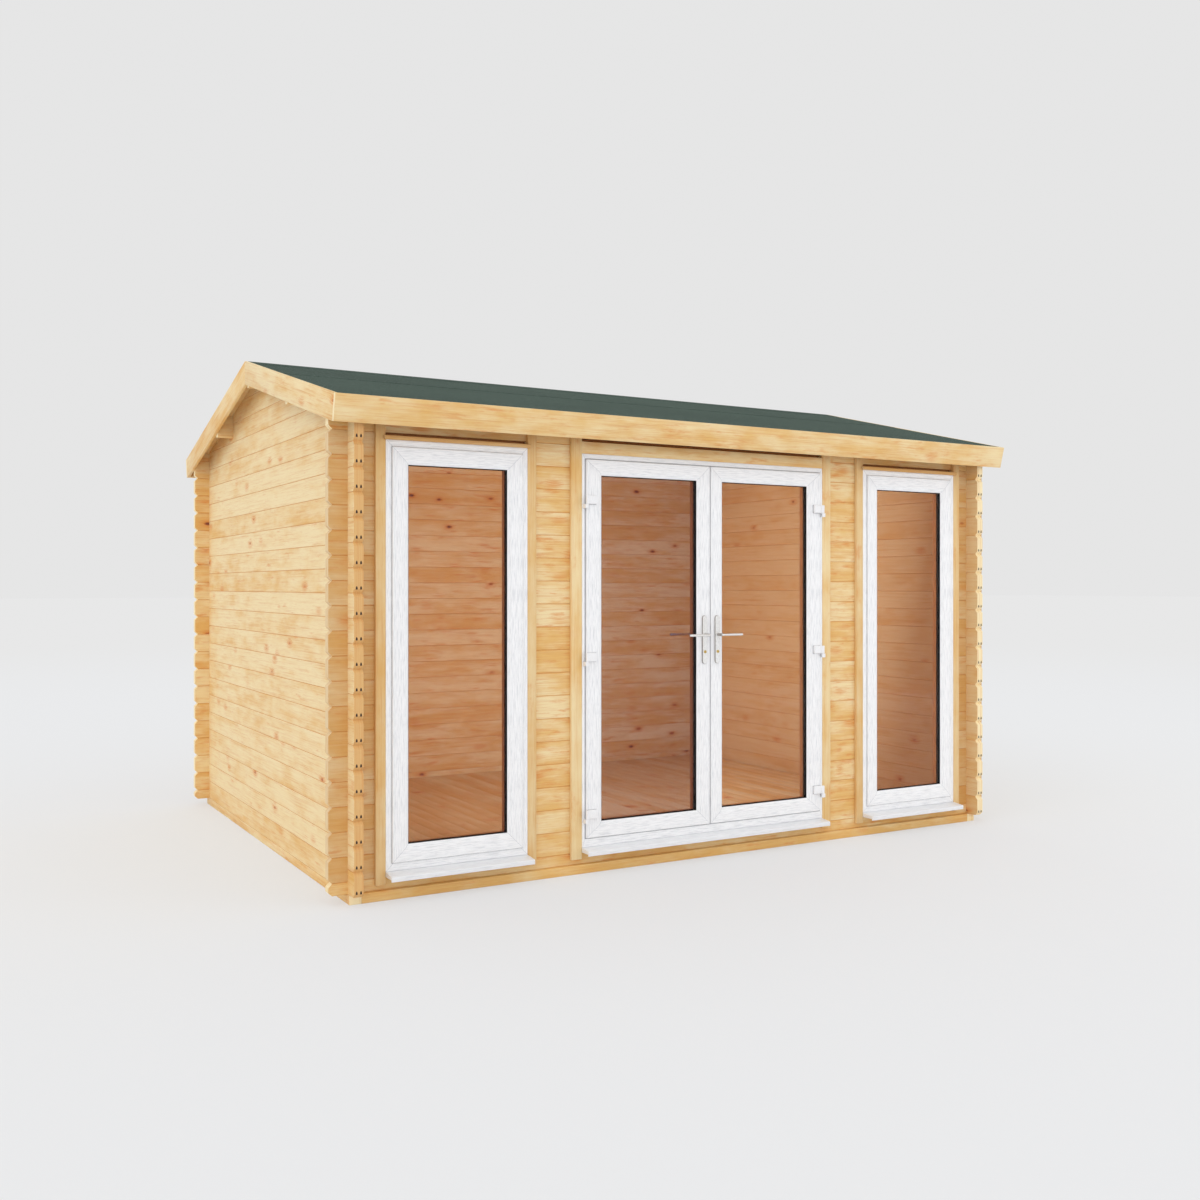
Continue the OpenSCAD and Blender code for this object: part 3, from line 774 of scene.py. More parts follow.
mineral = Finish("felt_mineral")
grit = mineral.noise(mineral.place(), 900.0, 2.0)
patch = mineral.noise(mineral.place(), 2.2, 4.0)
speck = mineral.noise(mineral.place(), 130.0, 3.0, 0.7)
felt_colour = mineral.mix(mineral.band(patch, 0.3, 0.7), tone(54, 70, 62), tone(63, 80, 71))
for pattern, start, end, share, colour in (
    (grit, 0.35, 0.7, 0.5, tone(84, 102, 92)),
    (speck, 0.52, 0.66, 0.65, tone(28, 40, 34)),
    (speck, 0.48, 0.34, 0.65, tone(104, 122, 112)),
):
    felt_colour = mineral.mix(mineral.band(pattern, start, end) * share, felt_colour, colour)
felt_finish = mineral.finish(
    Base_Color=felt_colour, Roughness=0.95, Specular_IOR_Level=0.2,
    Normal=mineral.bump(grit, 0.0012, 0.6),
)


def pulled(name, outline, x0, x1, material):
    """A closed outline of (y, z) points pulled along X from x0 to x1, with both ends closed."""
    work = bmesh.new()
    join_rings(work, [[work.verts.new((x, y, z)) for y, z in outline] for x in (x0, x1)])
    return made_piece(name, work, material, smooth=False)


def felt_outline(side):
    top = [(0.0, 0.0)]
    for lap in LAPS:
        top += [(lap, 0.0), (lap, -FELT_STEP)]
    bottom = [(roof_run, 0.0), (roof_run, -FELT_T), (FELT_T * math.tan(fall), -FELT_T)]
    return [(side * y, z) for y, z in top + bottom]


for side, node in ((-1, "roof_felt_front"), (1, "roof_felt_back")):
    felt = pulled(node + "_finish", felt_outline(side), roof_low.x, roof_high.x, felt_finish)
    felt.data.transform(on_slope(side))
    stand_for(felt, node)
print("felt strips a side:", len(LAPS) + 1)

# %% [markdown]
# ## Clout nails
#
# Short nails with wide heads hold each lap down. They are the same nail in a straight row, which is
# a job for Geometry Nodes: a flat cone makes the head, and a line of points places the copies.

# %% Nails along the laps
NAIL_R = 0.0045
NAIL_STEP = 0.075
NAIL_SUNK = 0.0004
LAP_EDGE = 0.022

zinc_finish = two_toned(
    "dull_zinc", (500.0, 2.0), tone(86, 98, 92), tone(112, 122, 116), span=(0.3, 0.7),
    Metallic=0.6, Roughness=0.5,
)
nail_count = int((roof_across - 2 * LAP_EDGE) / NAIL_STEP) + 1
for side, word in ((-1, "front"), (1, "back")):
    for lap in LAPS:
        row = Row("nail_row")
        head = row.shape("MeshCone", {
            "Vertices": 12, "Radius Bottom": NAIL_R, "Radius Top": NAIL_R * 0.6, "Depth": NAIL_R * 0.25,
        })
        piece = row.lay(
            f"felt_nails_{word}_{round(lap * 1000)}", zinc_finish, head, nail_count, 0.0, NAIL_STEP
        )
        at = Matrix.Translation((roof_low.x + LAP_EDGE, side * (lap - LAP_EDGE), -NAIL_SUNK))
        piece.data.transform(on_slope(side) @ at)
        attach(piece, "root")
print("nails in a row:", nail_count)

# %% [markdown]
# ## White foil and golden foil
#
# The frames are plastic profiles with a thin printed foil on each side: white with a faint embossed
# grain outside, and golden brown towards the room. The grain runs along each member and turns at
# the corners, so the foil reads the piece's own UV map, in metres. A second map holds the distance
# to both ends of a member, from which the hairline of the welded mitre is drawn.

# %% Foils
MITRE_W = 0.0014


def foil(name, ground, streaks, weld, roughness, depth, welded=True):
    mat = Finish(name)
    chart = mat.split(mat.node("UVMap", {"uv_map": "grain"}))
    grain = mat.noise((chart[0] * 13.0, chart[1] * 170.0, 0.0), detail=4.0, roughness=0.65)
    fleck = mat.noise((chart[0] * 45.0, chart[1] * 260.0, 4.0), detail=2.0)
    colour = mat.mix(mat.band(grain, 0.42, 0.70), ground, streaks)
    colour = mat.mix(mat.band(fleck, 0.54, 0.74) * 0.45, colour, streaks)
    if welded:
        ends = mat.split(mat.node("UVMap", {"uv_map": "ends"}))
        near = mat.math("MINIMUM", ends[0], ends[1])
        colour = mat.mix(mat.band(near, MITRE_W, MITRE_W * 0.4), colour, weld)
    relief = mat.bump(grain * 0.7 + fleck * 0.3, depth, 0.5)
    return mat.finish(Base_Color=colour, Roughness=roughness, Normal=relief)


WHITE = tone(251, 251, 252)
WHITE_STREAK = tone(224, 225, 228)
WHITE_WELD = tone(196, 198, 204)
white_foil = foil("white_foil", WHITE, WHITE_STREAK, WHITE_WELD, 0.34, 0.0009)
white_sill = foil(
    "white_sill", tone(240, 241, 243), WHITE_STREAK, WHITE_WELD, 0.34, 0.0005, welded=False
)
gold_foil = foil("gold_foil", tone(222, 163, 106), tone(190, 124, 72), tone(134, 82, 44), 0.42, 0.0004)
rubber_finish = two_toned(
    "black_rubber", (420.0, 2.0), tone(10, 10, 11), tone(24, 24, 25), relief=(0.0003, 0.4),
    Roughness=0.7, Specular_IOR_Level=0.2,
)
# a real grey seal, its tone darkened so that it also paints the shade lines at the frames' steps
seal_and_shade_finish = two_toned(
    "grey_seal", (300.0, 2.0), tone(166, 167, 170), tone(188, 189, 192), Roughness=0.6
)

# %% [markdown]
# ## Mitred rings
#
# A plastic window is one profile cut into four members, mitred and welded at the corners. A sweep
# does the same: each point of the profile makes a rectangle, and faces join one rectangle to the
# next. Every side has its own inset, because the bottom of a frame shows more than its sides.

# %% Rings


def even(inset):
    return (inset, inset, inset, inset)


def further(insets, more):
    return tuple(inset + more for inset in insets)


def inside(outer, inner):
    """How far a rectangle (x0, x1, z0, z1) lies inside another: left, right, bottom, top."""
    return (inner[0] - outer[0], outer[1] - inner[1], inner[2] - outer[2], outer[3] - inner[3])


def rect(node, shrink=0.0):
    lo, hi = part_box(node)
    return (lo.x + shrink, hi.x - shrink, lo.z + shrink, hi.z - shrink)


def round_over(insets, front, radius, steps=4):
    """Profile points round the outer front corner."""
    points = []
    for i in range(steps + 1):
        turn = math.radians(90 * i / steps)
        inset = radius * (1 - math.cos(turn))
        points.append((further(insets, inset), front + radius * (1 - math.sin(turn))))
    return points


def mitred_ring(name, outer, profile, *materials, room_y=0.0):
    """Sweeps (insets, y) points round outer; faces wholly behind room_y take a second material."""
    x0, x1, z0, z1 = outer
    work = bmesh.new()
    grain = work.loops.layers.uv.new("grain")
    ends = work.loops.layers.uv.new("ends")
    loops = []
    for (left, right, bottom, top), y in profile:
        corners = ((x0 + left, z0 + bottom), (x1 - right, z0 + bottom),
                   (x1 - right, z1 - top), (x0 + left, z1 - top))
        loops.append([work.verts.new((x, y, z)) for x, z in corners])
    travelled = 0.0
    for i, here in enumerate(loops):
        there = loops[(i + 1) % len(loops)]
        width = (here[0].co - there[0].co).length
        for j in range(4):
            k = (j + 1) % 4
            face = work.faces.new((here[j], here[k], there[k], there[j]))
            if len(materials) > 1 and min(vert.co.y for vert in face.verts) > room_y - MERGE:
                face.material_index = 1
            axis = 0 if j in (0, 2) else 2
            across = (travelled, travelled, travelled + width, travelled + width)
            spans = [(here[k].co - here[j].co).length] * 2 + [(there[k].co - there[j].co).length] * 2
            at_far_end = (False, True, True, False)
            for loop, v, span, far in zip(face.loops, across, spans, at_far_end):
                loop[grain].uv = (loop.vert.co[axis] + 3.1 * j, v + 0.37 * j)
                loop[ends].uv = (span, 0.0) if far else (0.0, span)
        travelled += width
    return made_piece(name, work, *materials)


# %% [markdown]
# ## Fixed frames
#
# The window frames and the door frame are screwed into the openings. Only their outer rims show
# round the sashes and doors, so each gets a rounded outer edge, and the window frames also the
# shallow groove that the profile has beside the sash. The door frame has a rebate that the doors'
# lips close into.

# %% Fixed frames
CORNER_R = 0.0035
GROOVE = 0.0012
FRAME_RIM = 0.045
DOOR_CLEAR = 0.005
RIM_PAST_LEAF = 0.024
LEAF_LIP = 0.012
REBATE_EDGE = 0.0015


def grooved(insets, y, start, width=0.003):
    """Points of a shallow groove in a face at y, start in from insets."""
    edge = GROOVE * 0.5
    return [
        (further(insets, start - edge), y), (further(insets, start), y + GROOVE),
        (further(insets, start + width), y + GROOVE), (further(insets, start + width + edge), y),
    ]


for name in ("left_window_frame", "right_window_frame"):
    lo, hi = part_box(name)
    profile = [(even(0), hi.y)] + round_over(even(0), lo.y, CORNER_R)
    profile += grooved(even(0), lo.y, 0.020)
    profile += [(even(FRAME_RIM), lo.y), (even(FRAME_RIM), hi.y)]
    stand_for(mitred_ring(name + "_finish", rect(name), profile, white_foil), name)

door_lo, door_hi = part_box("door_frame")
leaf_lo, leaf_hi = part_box("right_door")
door_rect = rect("door_frame")
leaves = inside(door_rect, (-leaf_hi.x, leaf_hi.x, leaf_lo.z, leaf_hi.z))
rebate = further(leaves, -DOOR_CLEAR)
rebate_y = leaf_lo.y + LEAF_LIP + DOOR_CLEAR
opening = further(leaves, RIM_PAST_LEAF)
profile = [(even(0), door_hi.y)] + round_over(even(0), door_lo.y, CORNER_R)
profile += [
    (further(rebate, -REBATE_EDGE), door_lo.y), (rebate, door_lo.y + REBATE_EDGE),
    (rebate, rebate_y), (opening, rebate_y), (opening, door_hi.y),
]
stand_for(mitred_ring("door_frame_finish", door_rect, profile, white_foil), "door_frame")
print("door frame rebate", [round(v, 4) for v in rebate])

# %% [markdown]
# ## Sashes and doors
#
# A sash or a door has the same section: a lip in front that laps over the fixed frame, a body behind
# it, and a glazing rebate with a sloping bead. The section is written once and given to all four,
# with the insets of each. The side towards the room has the golden foil.

# %% Sashes and doors
BITE = 0.012
BEAD_W = 0.015
BEAD_D = 0.012
BODY_PAST_LIP = 0.029
MEETING_LAP = 0.004
SASH_EDGE = 0.003


def sash_profile(body, pane, front, lip_back, back, glass_front, glass_back):
    """Points round a sash's section, from the back of its lip over the front and the glazing rebate."""
    bead = further(pane, -BEAD_W)
    bead_y = front + BEAD_D
    slot = further(pane, -BITE)
    return [
        (even(0), lip_back), *round_over(even(0), front, CORNER_R), *grooved(even(0), front, 0.009),
        (further(bead, -0.0045), front), (further(bead, -0.0035), front + 0.0015),
        (bead, front + 0.0015),
        (further(pane, -0.0035), bead_y - 0.0035), (further(pane, -0.0005), bead_y - 0.001),
        (pane, bead_y), (pane, glass_front), (slot, glass_front), (slot, glass_back),
        (pane, glass_back), (pane, back - SASH_EDGE), (further(pane, -SASH_EDGE), back),
        (further(body, SASH_EDGE), back), (body, back - SASH_EDGE), (body, lip_back),
    ]


def make_sash(node, glass, body, lip_back):
    """A sash or door with its golden room side, which starts behind the glass."""
    lo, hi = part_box(node)
    glass_lo, glass_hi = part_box(glass)
    outer = rect(node)
    pane = inside(outer, rect(glass, BITE))
    profile = sash_profile(body, pane, lo.y, lip_back, hi.y, glass_lo.y, glass_hi.y)
    ring = mitred_ring(node + "_finish", outer, profile, white_foil, gold_foil, room_y=glass_hi.y)
    stand_for(ring, node)


for side in ("left", "right"):
    window = f"{side}_window_frame"
    sash = f"{side}_window_sash"
    hole = rect(window, FRAME_RIM)
    make_sash(sash, f"{side}_window_glass", inside(rect(sash), hole), low(window).y)
    body = [BODY_PAST_LIP] * 4
    body[1 if side == "left" else 0] = MEETING_LAP
    make_sash(f"{side}_door", f"{side}_door_glass", tuple(body), leaf_lo.y + LEAF_LIP)
print("sashes and doors: 4")

# %% [markdown]
# ## Glass, spacers and gaskets
#
# A double glazed unit is two panes held apart by a spacer bar. Against brown glass and pale wood the
# black spacer and the rubber gaskets read as one deep black band, so each is made: two ground
# panes, one spacer ring between them and a gasket on each face. The glass lets light through in
# straight lines, tinted at every surface, and mirrors a little more at a slant.

# %% Glazing
PANE_T = 0.004
PANE_EDGE = 0.0005
GASKET = 0.003
GASKET_EDGE = 0.0006
FACE_SHINE = 0.010


def tinted(name, red, green, blue):
    """Glass that keeps these shares of the light at each of a unit's four surfaces."""
    mat = Finish(name)
    clear = mat.node("BsdfTransparent", inputs={"Color": (red, green, blue, 1)})
    shine = mat.node("BsdfGlossy", inputs={"Color": WHITE_LIGHT, "Roughness": 0.02})
    slant = mat.node("LayerWeight", inputs={"Blend": 0.5}, output=1)
    glance = FACE_SHINE + mat.math("POWER", slant, 5.0) * (1.0 - FACE_SHINE)
    return mat.surface(mat.blend(glance, clear, shine))


# one brown tint, made lighter or darker for each pane: painted light and shade of the room seen behind
# it
GLASS = {
    "left_window_glass": tinted("brown_glass", 0.899, 0.880, 0.892),
    "right_window_glass": tinted("plain_brown_glass", 0.955, 0.953, 0.972),
    "left_door_glass": tinted("deep_brown_glass", 0.853, 0.840, 0.892),
    "right_door_glass": tinted("pale_brown_glass", 0.950, 0.950, 0.974),
}


def add_block(work, corner, opposite, ease, segments=2):
    """Adds an eased block between two opposite corners, given in any order."""
    low_corner = Vector([min(pair) for pair in zip(corner, opposite)])
    high_corner = Vector([max(pair) for pair in zip(corner, opposite)])
    middle = (low_corner + high_corner) / 2
    size = high_corner - low_corner
    verts = bmesh.ops.create_cube(work, size=1.0)["verts"]
    for vert in verts:
        vert.co = Vector(c * s for c, s in zip(vert.co, size)) + middle
    edges = list(dict.fromkeys(edge for vert in verts for edge in vert.link_edges))
    bmesh.ops.bevel(
        work, geom=edges, offset=ease, segments=segments, profile=0.5, affect="EDGES",
        clamp_overlap=True,
    )


def band_ring(name, node, start, end, y0, y1):
    """A flat rubber ring from start to end inside a node's outline, with eased inner edges."""
    soft = end - GASKET_EDGE
    profile = [
        (even(start), y1), (even(start), y0), (even(soft), y0), (even(end), y0 + GASKET_EDGE),
        (even(end), y1 - GASKET_EDGE), (even(soft), y1),
    ]
    along_with(mitred_ring(name, rect(node), profile, rubber_finish), node)


for node, glass in GLASS.items():
    lo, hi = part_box(node)
    work = bmesh.new()
    add_block(work, lo, (hi.x, lo.y + PANE_T, hi.z), PANE_EDGE, 1)
    add_block(work, (lo.x, hi.y - PANE_T, lo.z), hi, PANE_EDGE, 1)
    stand_for(made_piece(node + "_panes", work, glass), node)
    band_ring(node + "_spacer", node, 0.001, BITE, lo.y + PANE_T, hi.y - PANE_T)
    band_ring(node + "_gasket_front", node, BITE - 0.002, BITE + 0.0015, lo.y - GASKET, lo.y)
    band_ring(node + "_gasket_back", node, BITE - 0.002, BITE + 0.0015, hi.y, hi.y + GASKET)
print("glazed units:", len(GLASS))

# %% [markdown]
# ## Seals and settling gaps
#
# A grey seal runs under each sash's lip and round the doors in their rebate. Its tone is darkened so
# that it also paints the thin grey shade lines round the white frames. Log walls sink as they dry, so
# a gap is left over each frame. It is packed with a soft brown fibre strip, which keeps the draught
# and the light out.

# %% Seals and packing
SEAL_W = 0.0028
SEAL_T = 0.0016
for side in ("left", "right"):
    sash = f"{side}_window_sash"
    y = low(f"{side}_window_frame").y
    profile = [
        (even(0), y), (even(0.0004), y - SEAL_T), (even(0.004), y - SEAL_T), (even(0.004), y),
    ]
    along_with(mitred_ring(f"{side}_sash_seal", rect(sash, -SEAL_W), profile, seal_and_shade_finish), sash)
lip = further(rebate, 0.0035)
profile = [
    (rebate, rebate_y), (rebate, door_lo.y + 0.002), (lip, door_lo.y + 0.003), (lip, rebate_y),
]
along_with(mitred_ring("door_frame_seal", door_rect, profile, seal_and_shade_finish), "door_frame")

fibre = Finish("packing_fibre")
strands = fibre.noise(fibre.stretched(90, 500, 500))
fibre_finish = fibre.finish(
    Base_Color=fibre.mix(fibre.band(strands, 0.35, 0.65), tone(160, 104, 60), tone(190, 132, 82)),
    Roughness=0.95, Normal=fibre.bump(strands, 0.002, 0.6),
)
PACKING = (0.012, 0.034)
DOOR_SLOT = 0.036
packing = bmesh.new()
gaps = [(door_rect, head_z + DOOR_SLOT)]
gaps += [(rect(f"{side}_window_frame"), head_z) for side in ("left", "right")]
for (x0, x1, _, z0), z1 in gaps:
    add_block(packing, (x0, front_y + PACKING[0], z0), (x1, front_y + PACKING[1], z1), 0.004, 3)
along_with(made_piece("settling_packing", packing, fibre_finish), "front_wall_top")
print("seals: 3, packed gaps:", len(gaps))

# %% [markdown]
# ## Sills
#
# A plastic sill is one extruded section with a sloping top and a nose that drips clear of the logs.
# Its shape comes from the CAD, with the edges eased as the extruder leaves them. The foil's grain
# runs from end to end, so each sill gets a UV map in metres along its length. A narrow grey seal
# on the left door closes the gap between the two doors.

# %% Sills
SILL_EASE = 0.0022
MEETING_SEAL = (-0.0032, 0.0012)
for name in ("window_sills", "door_sill"):
    mesh = eased(name, SILL_EASE, white_sill, segments=3).data
    grain = mesh.uv_layers.new(name="grain")
    for loop in mesh.loops:
        at = mesh.vertices[loop.vertex_index].co
        grain.data[loop.index].uv = (at.x, at.y + at.z)
meeting = bmesh.new()
add_block(
    meeting, (MEETING_SEAL[0], leaf_lo.y + 0.003, leaf_lo.z + 0.002),
    (MEETING_SEAL[1], leaf_lo.y + 0.010, leaf_hi.z - 0.002), 0.0008,
)
along_with(made_piece("meeting_seal", meeting, seal_and_shade_finish), "left_door")
print("sills eased, doors sealed")

# %% [markdown]
# ## Hinges
#
# White flag hinges carry the doors. Each has a foot screwed to the frame, a knuckle on that foot,
# and above it the door's knuckle with its flag screwed to the door's face. The flags are moulded
# covers with soft corners. The turned parts are lathe work: a profile of radii and heights, spun
# round the pin's axis.

# %% Hinges
HINGE_H = 0.066
HINGES_ABOVE = (1.040, 1.830)
FOOT_SHARE = 1 / 3
KNUCKLE_R = 0.0075
KNUCKLE_GAP = 0.0006
KNUCKLE_EDGE = 0.0012
FOOT_REACH = 0.012
FLAG_T = 0.016
FLAG_EDGE = 0.0035
CAP_R = 0.0052
SHADOW_PAD_T = 0.0022
SCREW = [(0, 0), (0.0042, 0), (0.0042, -0.0006), (0.0034, -0.0012), (0, -0.0012)]
SCREW_IN = 0.016


def add_turned(work, profile, at, along="z", steps=24):
    """Adds a lathe form; profile lists (radius, height) from one closed pole to the other."""
    rings = []
    for radius, height in profile:
        count = steps if radius > 1e-6 else 1
        ring = []
        for i in range(count):
            turn = 2 * math.pi * i / steps
            a, b = radius * math.cos(turn), radius * math.sin(turn)
            local = (a, b, height) if along == "z" else (a, height, b)
            ring.append(work.verts.new(Vector(local) + Vector(at)))
        rings.append(ring)
    for here, there in zip(rings, rings[1:]):
        for i in range(steps):
            j = (i + 1) % steps
            around = ((here, i), (here, j), (there, j), (there, i))
            unique = list(dict.fromkeys(ring[n % len(ring)] for ring, n in around))
            if len(unique) > 2:
                work.faces.new(unique)


def knuckle(bottom, top):
    r, edge = KNUCKLE_R, KNUCKLE_EDGE
    return [
        (0, bottom), (r - edge, bottom), (r, bottom + edge), (r, top - edge), (r - edge, top), (0, top),
    ]


def disc(radius, y0, y1):
    return [(0, y0), (radius, y0), (radius, y1), (0, y1)]


hinge_finish = two_toned(
    "hinge_cover", (260.0, 3.0), tone(240, 240, 242), tone(249, 249, 250), span=(0.3, 0.7),
    relief=(0.0003, 0.3), Roughness=0.38,
)
# grey pads a little larger than the flags: a painted shadow line round each flag
shadow_pad_finish = two_toned(
    "hinge_pad", (300.0, 2.0), tone(150, 151, 154), tone(170, 171, 174), Roughness=0.6
)

flag_lo, flag_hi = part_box("right_door_hinges")
hinge_x = flag_hi.x - KNUCKLE_R
hinge_y = flag_lo.y + KNUCKLE_R
flag_y = leaf_lo.y - FLAG_T
hinge_feet = (low("frame_hinges").z, *HINGES_ABOVE)
posts = bmesh.new()
for side, word in ((-1, "left"), (1, "right")):
    flags = bmesh.new()
    pads = bmesh.new()
    x = side * hinge_x
    flag_x = side * flag_lo.x
    for foot in hinge_feet:
        split = foot + HINGE_H * FOOT_SHARE
        joint = split + KNUCKLE_GAP
        top = foot + HINGE_H
        # on the frame: the lower knuckle and its foot
        add_turned(posts, knuckle(foot, split), (x, hinge_y, 0))
        add_block(
            posts, (x, hinge_y - 0.006, foot + 0.0004),
            (x + side * FOOT_REACH, door_lo.y, split - 0.0004), 0.0022, 3,
        )
        # on the door: the upper knuckle and its cap, the flag, the web between them and a grey pad,
        # whose rim round the flag is a painted shadow line
        add_turned(flags, knuckle(joint, top), (x, hinge_y, 0))
        add_turned(flags, disc(CAP_R, top - 0.001, top + 0.0004), (x, hinge_y, -0.0005))
        add_block(flags, (flag_x, flag_y, joint), (x - side * 0.009, leaf_lo.y, top), FLAG_EDGE, 4)
        add_block(
            pads, (flag_x - side * 0.0012, leaf_lo.y - SHADOW_PAD_T, split - 0.0006),
            (x - side * 0.0085, leaf_lo.y, top + 0.0010), 0.0006, 1,
        )
        add_block(
            flags, (x - side * 0.014, hinge_y - 0.0042, joint + 0.001),
            (x, hinge_y + 0.0042, top - 0.001), 0.0015,
        )
        for height in (0.3, 0.7):
            at = (flag_x + side * SCREW_IN, flag_y + 0.0006, split + (top - split) * height)
            add_turned(flags, SCREW, at, along="y", steps=16)
    hinges = f"{word}_door_hinges"
    stand_for(made_piece(hinges + "_finish", flags, hinge_finish), hinges)
    along_with(made_piece(f"{word}_hinge_shadow_pads", pads, shadow_pad_finish), hinges)
stand_for(made_piece("frame_hinges_finish", posts, hinge_finish), "frame_hinges")
print("hinges:", 2 * len(hinge_feet))

# %% [markdown]
# ## Handles
#
# Each door has a long narrow plate on both faces, with a lever above and a lock cylinder below. The
# plates are pressed metal with round ends and a soft edge. The levers are bent bars: a round section
# is swept along a path that leaves the plate, turns a corner and runs out level. The cylinder is
# brass with a keyway.

# %% Metals
# tone of the painted shade on the metal's side faces
EDGE_SHADE_TONE = tone(128, 116, 106)
BEND_R = 0.013
NECK_R = 0.0078
GRIP_R = 0.0066
satin = Finish("satin_metal")
brushed = satin.noise(satin.stretched(900, 900, 60), detail=2.0)
facing = abs(satin.split(satin.node("NewGeometry", output=1))[1])
satin_colour = satin.mix(brushed, tone(238, 237, 235), tone(250, 249, 247))
satin_finish = satin.finish(
    # painted shade: faces turned away from front and back, the plates' rims and the levers' sides, are
    # darkened toward the edge tone
    Base_Color=satin.mix(satin.band(facing, 0.75, 0.25) * 0.75, satin_colour, EDGE_SHADE_TONE),
    Metallic=0.8, Roughness=satin.band(brushed, 0.3, 0.7, 0.24, 0.34),
)
brass_finish = two_toned(
    "brass", (800.0, 2.0), tone(196, 160, 84), tone(222, 190, 112), Metallic=0.9,
    Roughness=(0.26, 0.38),
)


def round_ended(x, z0, z1, radius, inset, steps=10):
    """Outline of an upright plate with round ends, taken in by inset."""
    r = radius - inset
    points = []
    for centre, start in ((z1 - radius, 0), (z0 + radius, 180)):
        for i in range(steps + 1):
            turn = math.radians(start + 180 * i / steps)
            points.append((x + r * math.cos(turn), centre + r * math.sin(turn)))
    return points


def add_plate(work, x, z0, z1, radius, root, face):
    """Adds a plate with a softened edge; root is its back, face its front."""
    out = 1 if face > root else -1
    section = ((0.0, root), (0.0, face - out * 0.0030), (0.0007, face - out * 0.0012),
               (0.0020, face - out * 0.0003), (0.0040, face))
    join_rings(work, [
        [work.verts.new((px, y, pz)) for px, pz in round_ended(x, z0, z1, radius, inset)]
        for inset, y in section
    ])


def add_bar(work, path, radii, steps=20):
    """Adds a round bar along a level path; radii are (level, upright) for each point."""
    rings = []
    for i, (point, (level, upright)) in enumerate(zip(path, radii)):
        ahead = Vector(path[min(i + 1, len(path) - 1)]) - Vector(path[max(i - 1, 0)])
        across = ahead.normalized().cross(Vector((0, 0, 1)))
        ring = []
        for k in range(steps):
            turn = 2 * math.pi * k / steps
            lifted = Vector((0, 0, upright * math.sin(turn)))
            ring.append(work.verts.new(Vector(point) + across * (level * math.cos(turn)) + lifted))
        rings.append(ring)
    join_rings(work, rings)


def lever_path(side, x, z, root, grip_y, tip_x):
    """Straight out of the plate, round a bend and level to the tip, with the bar's radii."""
    out = 1 if grip_y > root else -1
    path = [(x, root, z), (x, grip_y - out * (BEND_R + 0.010), z)]
    radii = [(NECK_R, NECK_R)] * 2
    for i in range(7):
        turn = math.radians(15 * i)
        along, back = BEND_R * (1 - math.cos(turn)), BEND_R * (1 - math.sin(turn))
        path.append((x + side * along, grip_y - out * back, z))
        radii.append((NECK_R, NECK_R - 0.0003 * i))
    straight = [(BEND_R + (tip_x - BEND_R) * share, GRIP_R) for share in (0.25, 0.5, 0.75, 0.93)]
    tip = ((0.0042, 0.97), (0.0018, 0.85), (0.0005, 0.6))
    for along, radius in straight + [(tip_x - back, GRIP_R * thin) for back, thin in tip]:
        path.append((x + side * along, grip_y, z))
        radii.append((radius, radius))
    return path, radii


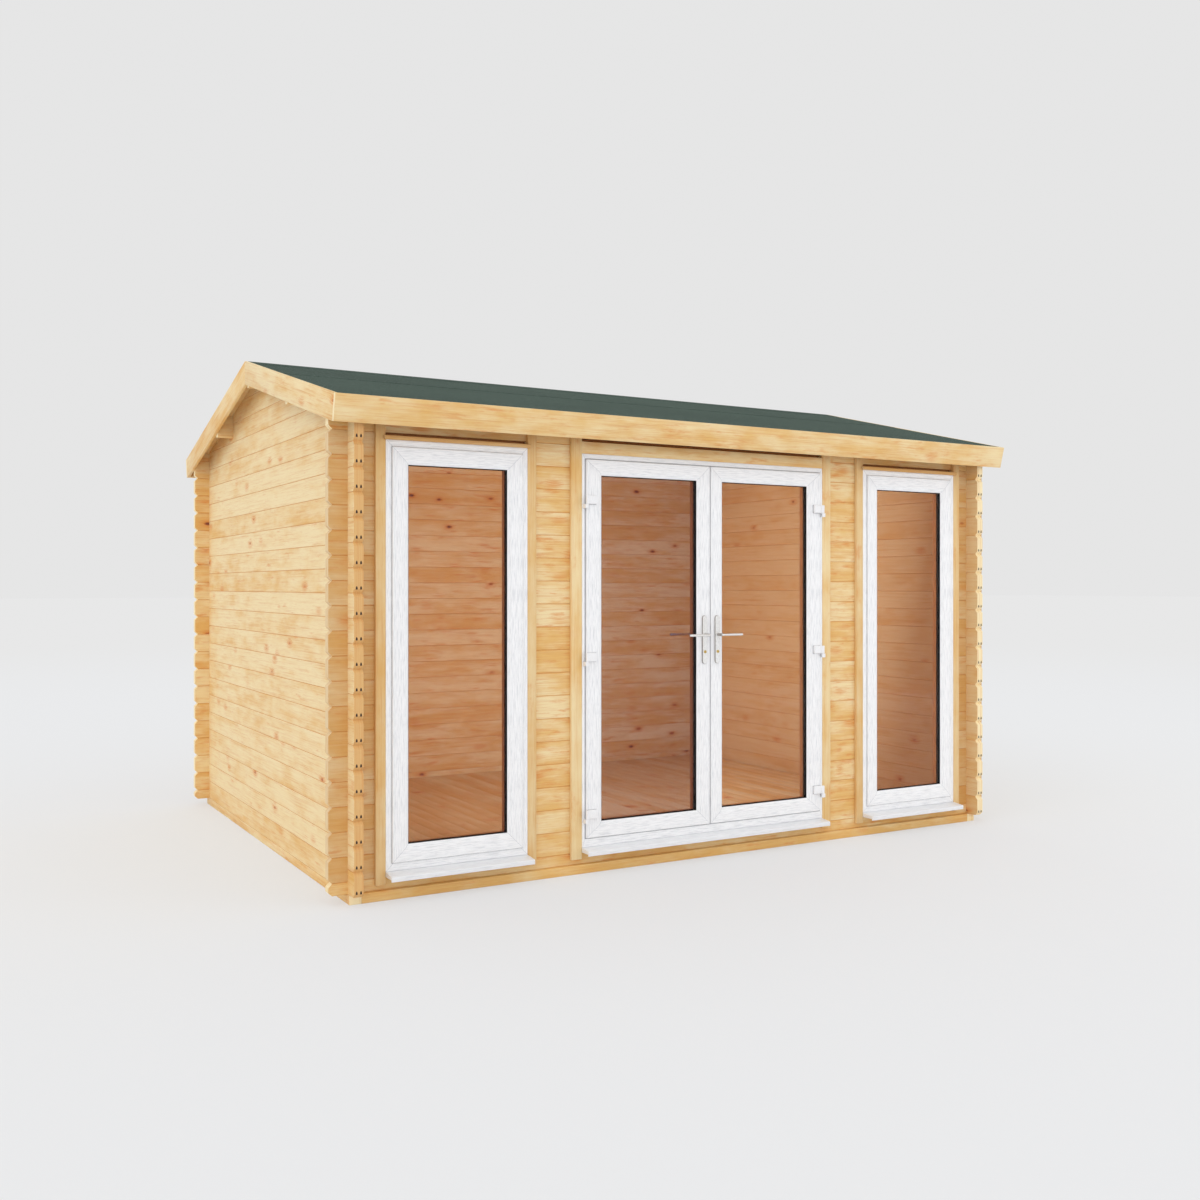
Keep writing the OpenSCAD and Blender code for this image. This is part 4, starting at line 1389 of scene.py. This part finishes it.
# %% Plates, levers and cylinders
PLATE_T = 0.010
LOCK_DROP = 0.090
LEVER_R = 0.0085
COLLAR_R = 0.0112
CYLINDER_R = 0.0080
KEYWAY_HALF = 0.0007
SPINDLE = 0.004
for side, word in ((-1, "left"), (1, "right")):
    handle_plates = f"{word}_handle_plates"
    plate_lo, plate_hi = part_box(handle_plates)
    lever_lo, lever_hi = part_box(f"{word}_lever")
    x = (plate_lo.x + plate_hi.x) / 2
    radius = (plate_hi.x - plate_lo.x) / 2
    inner_face = plate_hi.y - 0.003
    lever_z = (lever_lo.z + lever_hi.z) / 2
    lock_z = lever_z - LOCK_DROP
    reach = max(abs(lever_lo.x), abs(lever_hi.x)) - abs(x)
    grips = (lever_lo.y + LEVER_R, lever_hi.y - LEVER_R)
    faces = ((leaf_lo.y, leaf_lo.y - PLATE_T), (inner_face - PLATE_T, inner_face))
    plates = bmesh.new()
    cylinders = bmesh.new()
    slot_shades = bmesh.new()
    bar = bmesh.new()
    for (root, face), grip_y in zip(faces, grips):
        out = 1 if face > root else -1
        collar = face + out * 0.0020
        tip = face + out * 0.0028
        add_plate(plates, x, plate_lo.z, plate_hi.z, radius, root, face)
        add_turned(
            plates,
            [(0, face), (COLLAR_R, face), (COLLAR_R, face + out * 0.0012),
             (COLLAR_R - 0.0012, collar), (0, collar)],
            (x, 0, lever_z), along="y", steps=28,
        )
        add_turned(
            cylinders,
            [(0, face - out * 0.002), (CYLINDER_R, face - out * 0.002),
             (CYLINDER_R, tip - out * 0.0008), (CYLINDER_R - 0.0008, tip), (0, tip)],
            (x, 0, lock_z), along="y", steps=28,
        )
        # the keyway is a thin black block on the cylinder's face: painted shade standing for the dark
        # of the slot
        add_block(
            slot_shades, (x - KEYWAY_HALF, tip - out * 0.0010, lock_z - 0.0045),
            (x + KEYWAY_HALF, tip + out * 0.0001, lock_z + 0.0035), 0.0002, 1,
        )
        add_bar(bar, *lever_path(side, x, lever_z, face, grip_y, reach))
    add_block(
        bar, (x - SPINDLE, faces[0][1] - 0.002, lever_z - SPINDLE),
        (x + SPINDLE, faces[1][1] + 0.002, lever_z + SPINDLE), 0.0006, 1,
    )
    stand_for(made_piece(handle_plates + "_finish", plates, satin_finish), handle_plates)
    along_with(made_piece(f"{word}_lock_cylinder", cylinders, brass_finish), handle_plates)
    along_with(made_piece(f"{word}_keyway_shade", slot_shades, rubber_finish), handle_plates)
    stand_for(made_piece(f"{word}_lever_finish", bar, satin_finish), f"{word}_lever")
print("handles: 2 doors, lever reach", round(reach, 3))

# %% [markdown]
# ## The studio floor
#
# A wide sheet of pale paper carries the cabin and takes its soft shadow. Far away it has the tone of
# the backdrop, so that the two meet without a line. Within a few metres of the cabin it is painted a
# little lighter and cooler: painted light that offsets the cabin's shade and the warm light its
# timber throws on the paper.

# %% Floor of the studio
REACH = 150.0
FADE = (6.0, 26.0)
FLOOR_TONE = 0.82
NEUTRAL = 0.50
ground_mesh = bpy.data.meshes.new("studio_floor")
corners = [(x * REACH, y * REACH, 0) for x, y in ((-1, -1), (1, -1), (1, 1), (-1, 1))]
ground_mesh.from_pydata(corners, [], [(0, 1, 2, 3)])
ground = new_piece("studio_floor", ground_mesh)
paper = Finish("studio_paper")
distance = paper.node("VectorMath", {"operation": "LENGTH"}, {0: paper.place()}, output=1)
# painted light: lighter and cooler near the cabin, the backdrop's tone far away
sheet = paper.mix(paper.band(distance, *FADE), tone(237, 239, 242), tone(233, 233, 233))
lit = paper.node("BsdfDiffuse", inputs={"Color": sheet})
even_tone = paper.node("Emission", inputs={"Color": WHITE_LIGHT, "Strength": FLOOR_TONE})
shaded = paper.blend(paper.ray("Camera") * NEUTRAL, lit, even_tone)
ground_mesh.materials.append(paper.surface(shaded))
